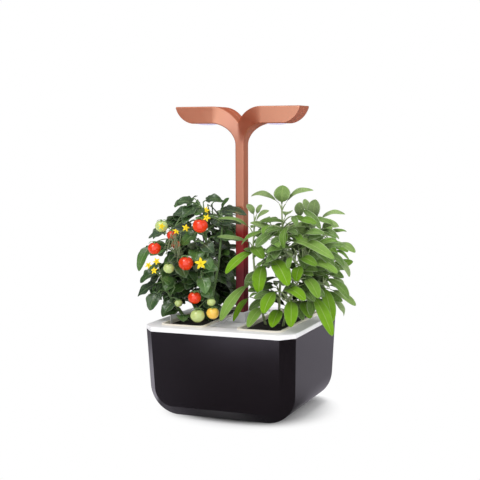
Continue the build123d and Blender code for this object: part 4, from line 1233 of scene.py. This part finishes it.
def pale_floor(tone, reach=4.0):
    """Plain floor that fades into the white backdrop away from the object."""
    mesh = bpy.data.meshes.new("floor")
    corners = [(-reach, -reach, 0), (reach, -reach, 0), (reach, reach, 0), (-reach, reach, 0)]
    mesh.from_pydata(corners, [], [(0, 1, 2, 3)])
    floor = bpy.data.objects.new("floor", mesh)
    bpy.context.scene.collection.objects.link(floor)
    made = Finish("pale_floor", Roughness=0.9, Specular_IOR_Level=0.1)
    made.mottle(made.noise(3.0), tone, 0.995, 1.0)
    path = made.node("LightPath").outputs
    away = made.vector("LENGTH", made.place)
    past = made.vector("DISTANCE", made.place, (0.01, 0.015, 0.0))
    seen = made.times(made.between(past, 0.085, 0.14), path["Is Camera Ray"])
    mirrored = made.times(made.between(away, 0.07, 0.10), path["Is Glossy Ray"])
    way = made.axes(made.vector("NORMALIZE", made.place))
    across = made.math("MULTIPLY_ADD", way[0], -0.66, way[1])
    left = made.between(way[0], -0.95, -0.60, 0.30, 1.0)
    near = made.times(made.between(across, -1.0, 0.3, 0.05, 0.40), left)
    gain = made.math("SUBTRACT", surroundings(made, way), near)
    level = made.math("MULTIPLY_ADD", made.between(away, 0.35, 0.60), gain, near)
    level = made.larger(level, made.between(way[0], -0.88, -0.96, 0.0, 0.70))
    level = made.larger(level, path["Is Camera Ray"])
    tint = made.mix(path["Is Glossy Ray"], (1.0, 1.0, 1.0), (0.94, 0.89, 1.0))
    glow = made.node("Emission", {"Color": tint, "Strength": level}).outputs[0]
    inputs = {0: made.larger(seen, mirrored), 1: made.shader.outputs[0], 2: glow}
    output = next(n for n in made.tree.nodes if n.type == "OUTPUT_MATERIAL")
    made.tree.links.new(made.node("MixShader", inputs).outputs[0], output.inputs[0])
    made.material.cycles.emission_sampling = "NONE"
    mesh.materials.append(made.material)


class GARDEN_OT_stage(GardenOperator, bpy.types.Operator):
    """Set up the floor, the lamps, the sky and the camera"""

    bl_idname = "garden.stage"
    bl_label = "Stage"

    def execute(self, context):
        scene = context.scene
        look = scene.garden_stage
        pale_floor(look.floor)
        studio_sky(look.sky)
        soft_lamp("key", (-0.6, -1.4, 2.0), 1.1, look.key)
        soft_lamp("fill", (1.9, -0.6, 1.0), 1.2, look.fill)
        soft_lamp("top", (0.1, 0.5, 2.0), 1.0, look.top, mirrored=False)
        camera = bpy.data.objects.new("camera", bpy.data.cameras.new("camera"))
        scene.collection.objects.link(camera)
        turn = Euler([radians(angle) for angle in CAMERA_TURN])
        camera.matrix_world = Matrix.LocRotScale(Vector(CAMERA_PLACE), turn, None)
        camera.data.lens = CAMERA_LENS
        camera.data.sensor_width = 36
        camera.data.clip_start = 0.05
        camera.data.clip_end = 50
        scene.camera = camera
        scene.view_settings.view_transform = "Standard"
        return {"FINISHED"}


class GARDEN_PT_sidebar(bpy.types.Panel):
    """Steps and settings of the garden"""

    bl_idname = "GARDEN_PT_sidebar"
    bl_label = "Countertop garden"
    bl_space_type = "VIEW_3D"
    bl_region_type = "UI"
    bl_category = "Garden"

    def draw(self, context):
        for group in GROUPS:
            column = self.layout.column(align=True)
            settings = getattr(context.scene, group)
            for key in settings.bl_rna.properties.keys():
                if key not in ("rna_type", "name"):
                    column.prop(settings, key)
        for step in STEPS:
            self.layout.operator(step.bl_idname)


GROUPS = {
    "garden_finish": GardenFinish,
    "garden_plants": GardenPlants,
    "garden_stage": GardenStage,
}
STEPS = (
    GARDEN_OT_stage,
    GARDEN_OT_base,
    GARDEN_OT_deck,
    GARDEN_OT_lamp,
    GARDEN_OT_medium,
    GARDEN_OT_sage,
    GARDEN_OT_tomato,
    GARDEN_OT_fruit,
    GARDEN_OT_blossom,
)


def register():
    for made in (*GROUPS.values(), *STEPS, GARDEN_PT_sidebar):
        bpy.utils.register_class(made)
    for name, group in GROUPS.items():
        setattr(bpy.types.Scene, name, bpy.props.PointerProperty(type=group))


def unregister():
    for name in GROUPS:
        delattr(bpy.types.Scene, name)
    for made in (GARDEN_PT_sidebar, *reversed(STEPS), *GROUPS.values()):
        bpy.utils.unregister_class(made)


def main():
    register()
    for step in STEPS:
        name = step.bl_idname.split(".")[1]
        if getattr(bpy.ops.garden, name)() != {"FINISHED"}:
            raise RuntimeError(f"{step.bl_label} didn't finish")


if __name__ == "__main__":
    main()
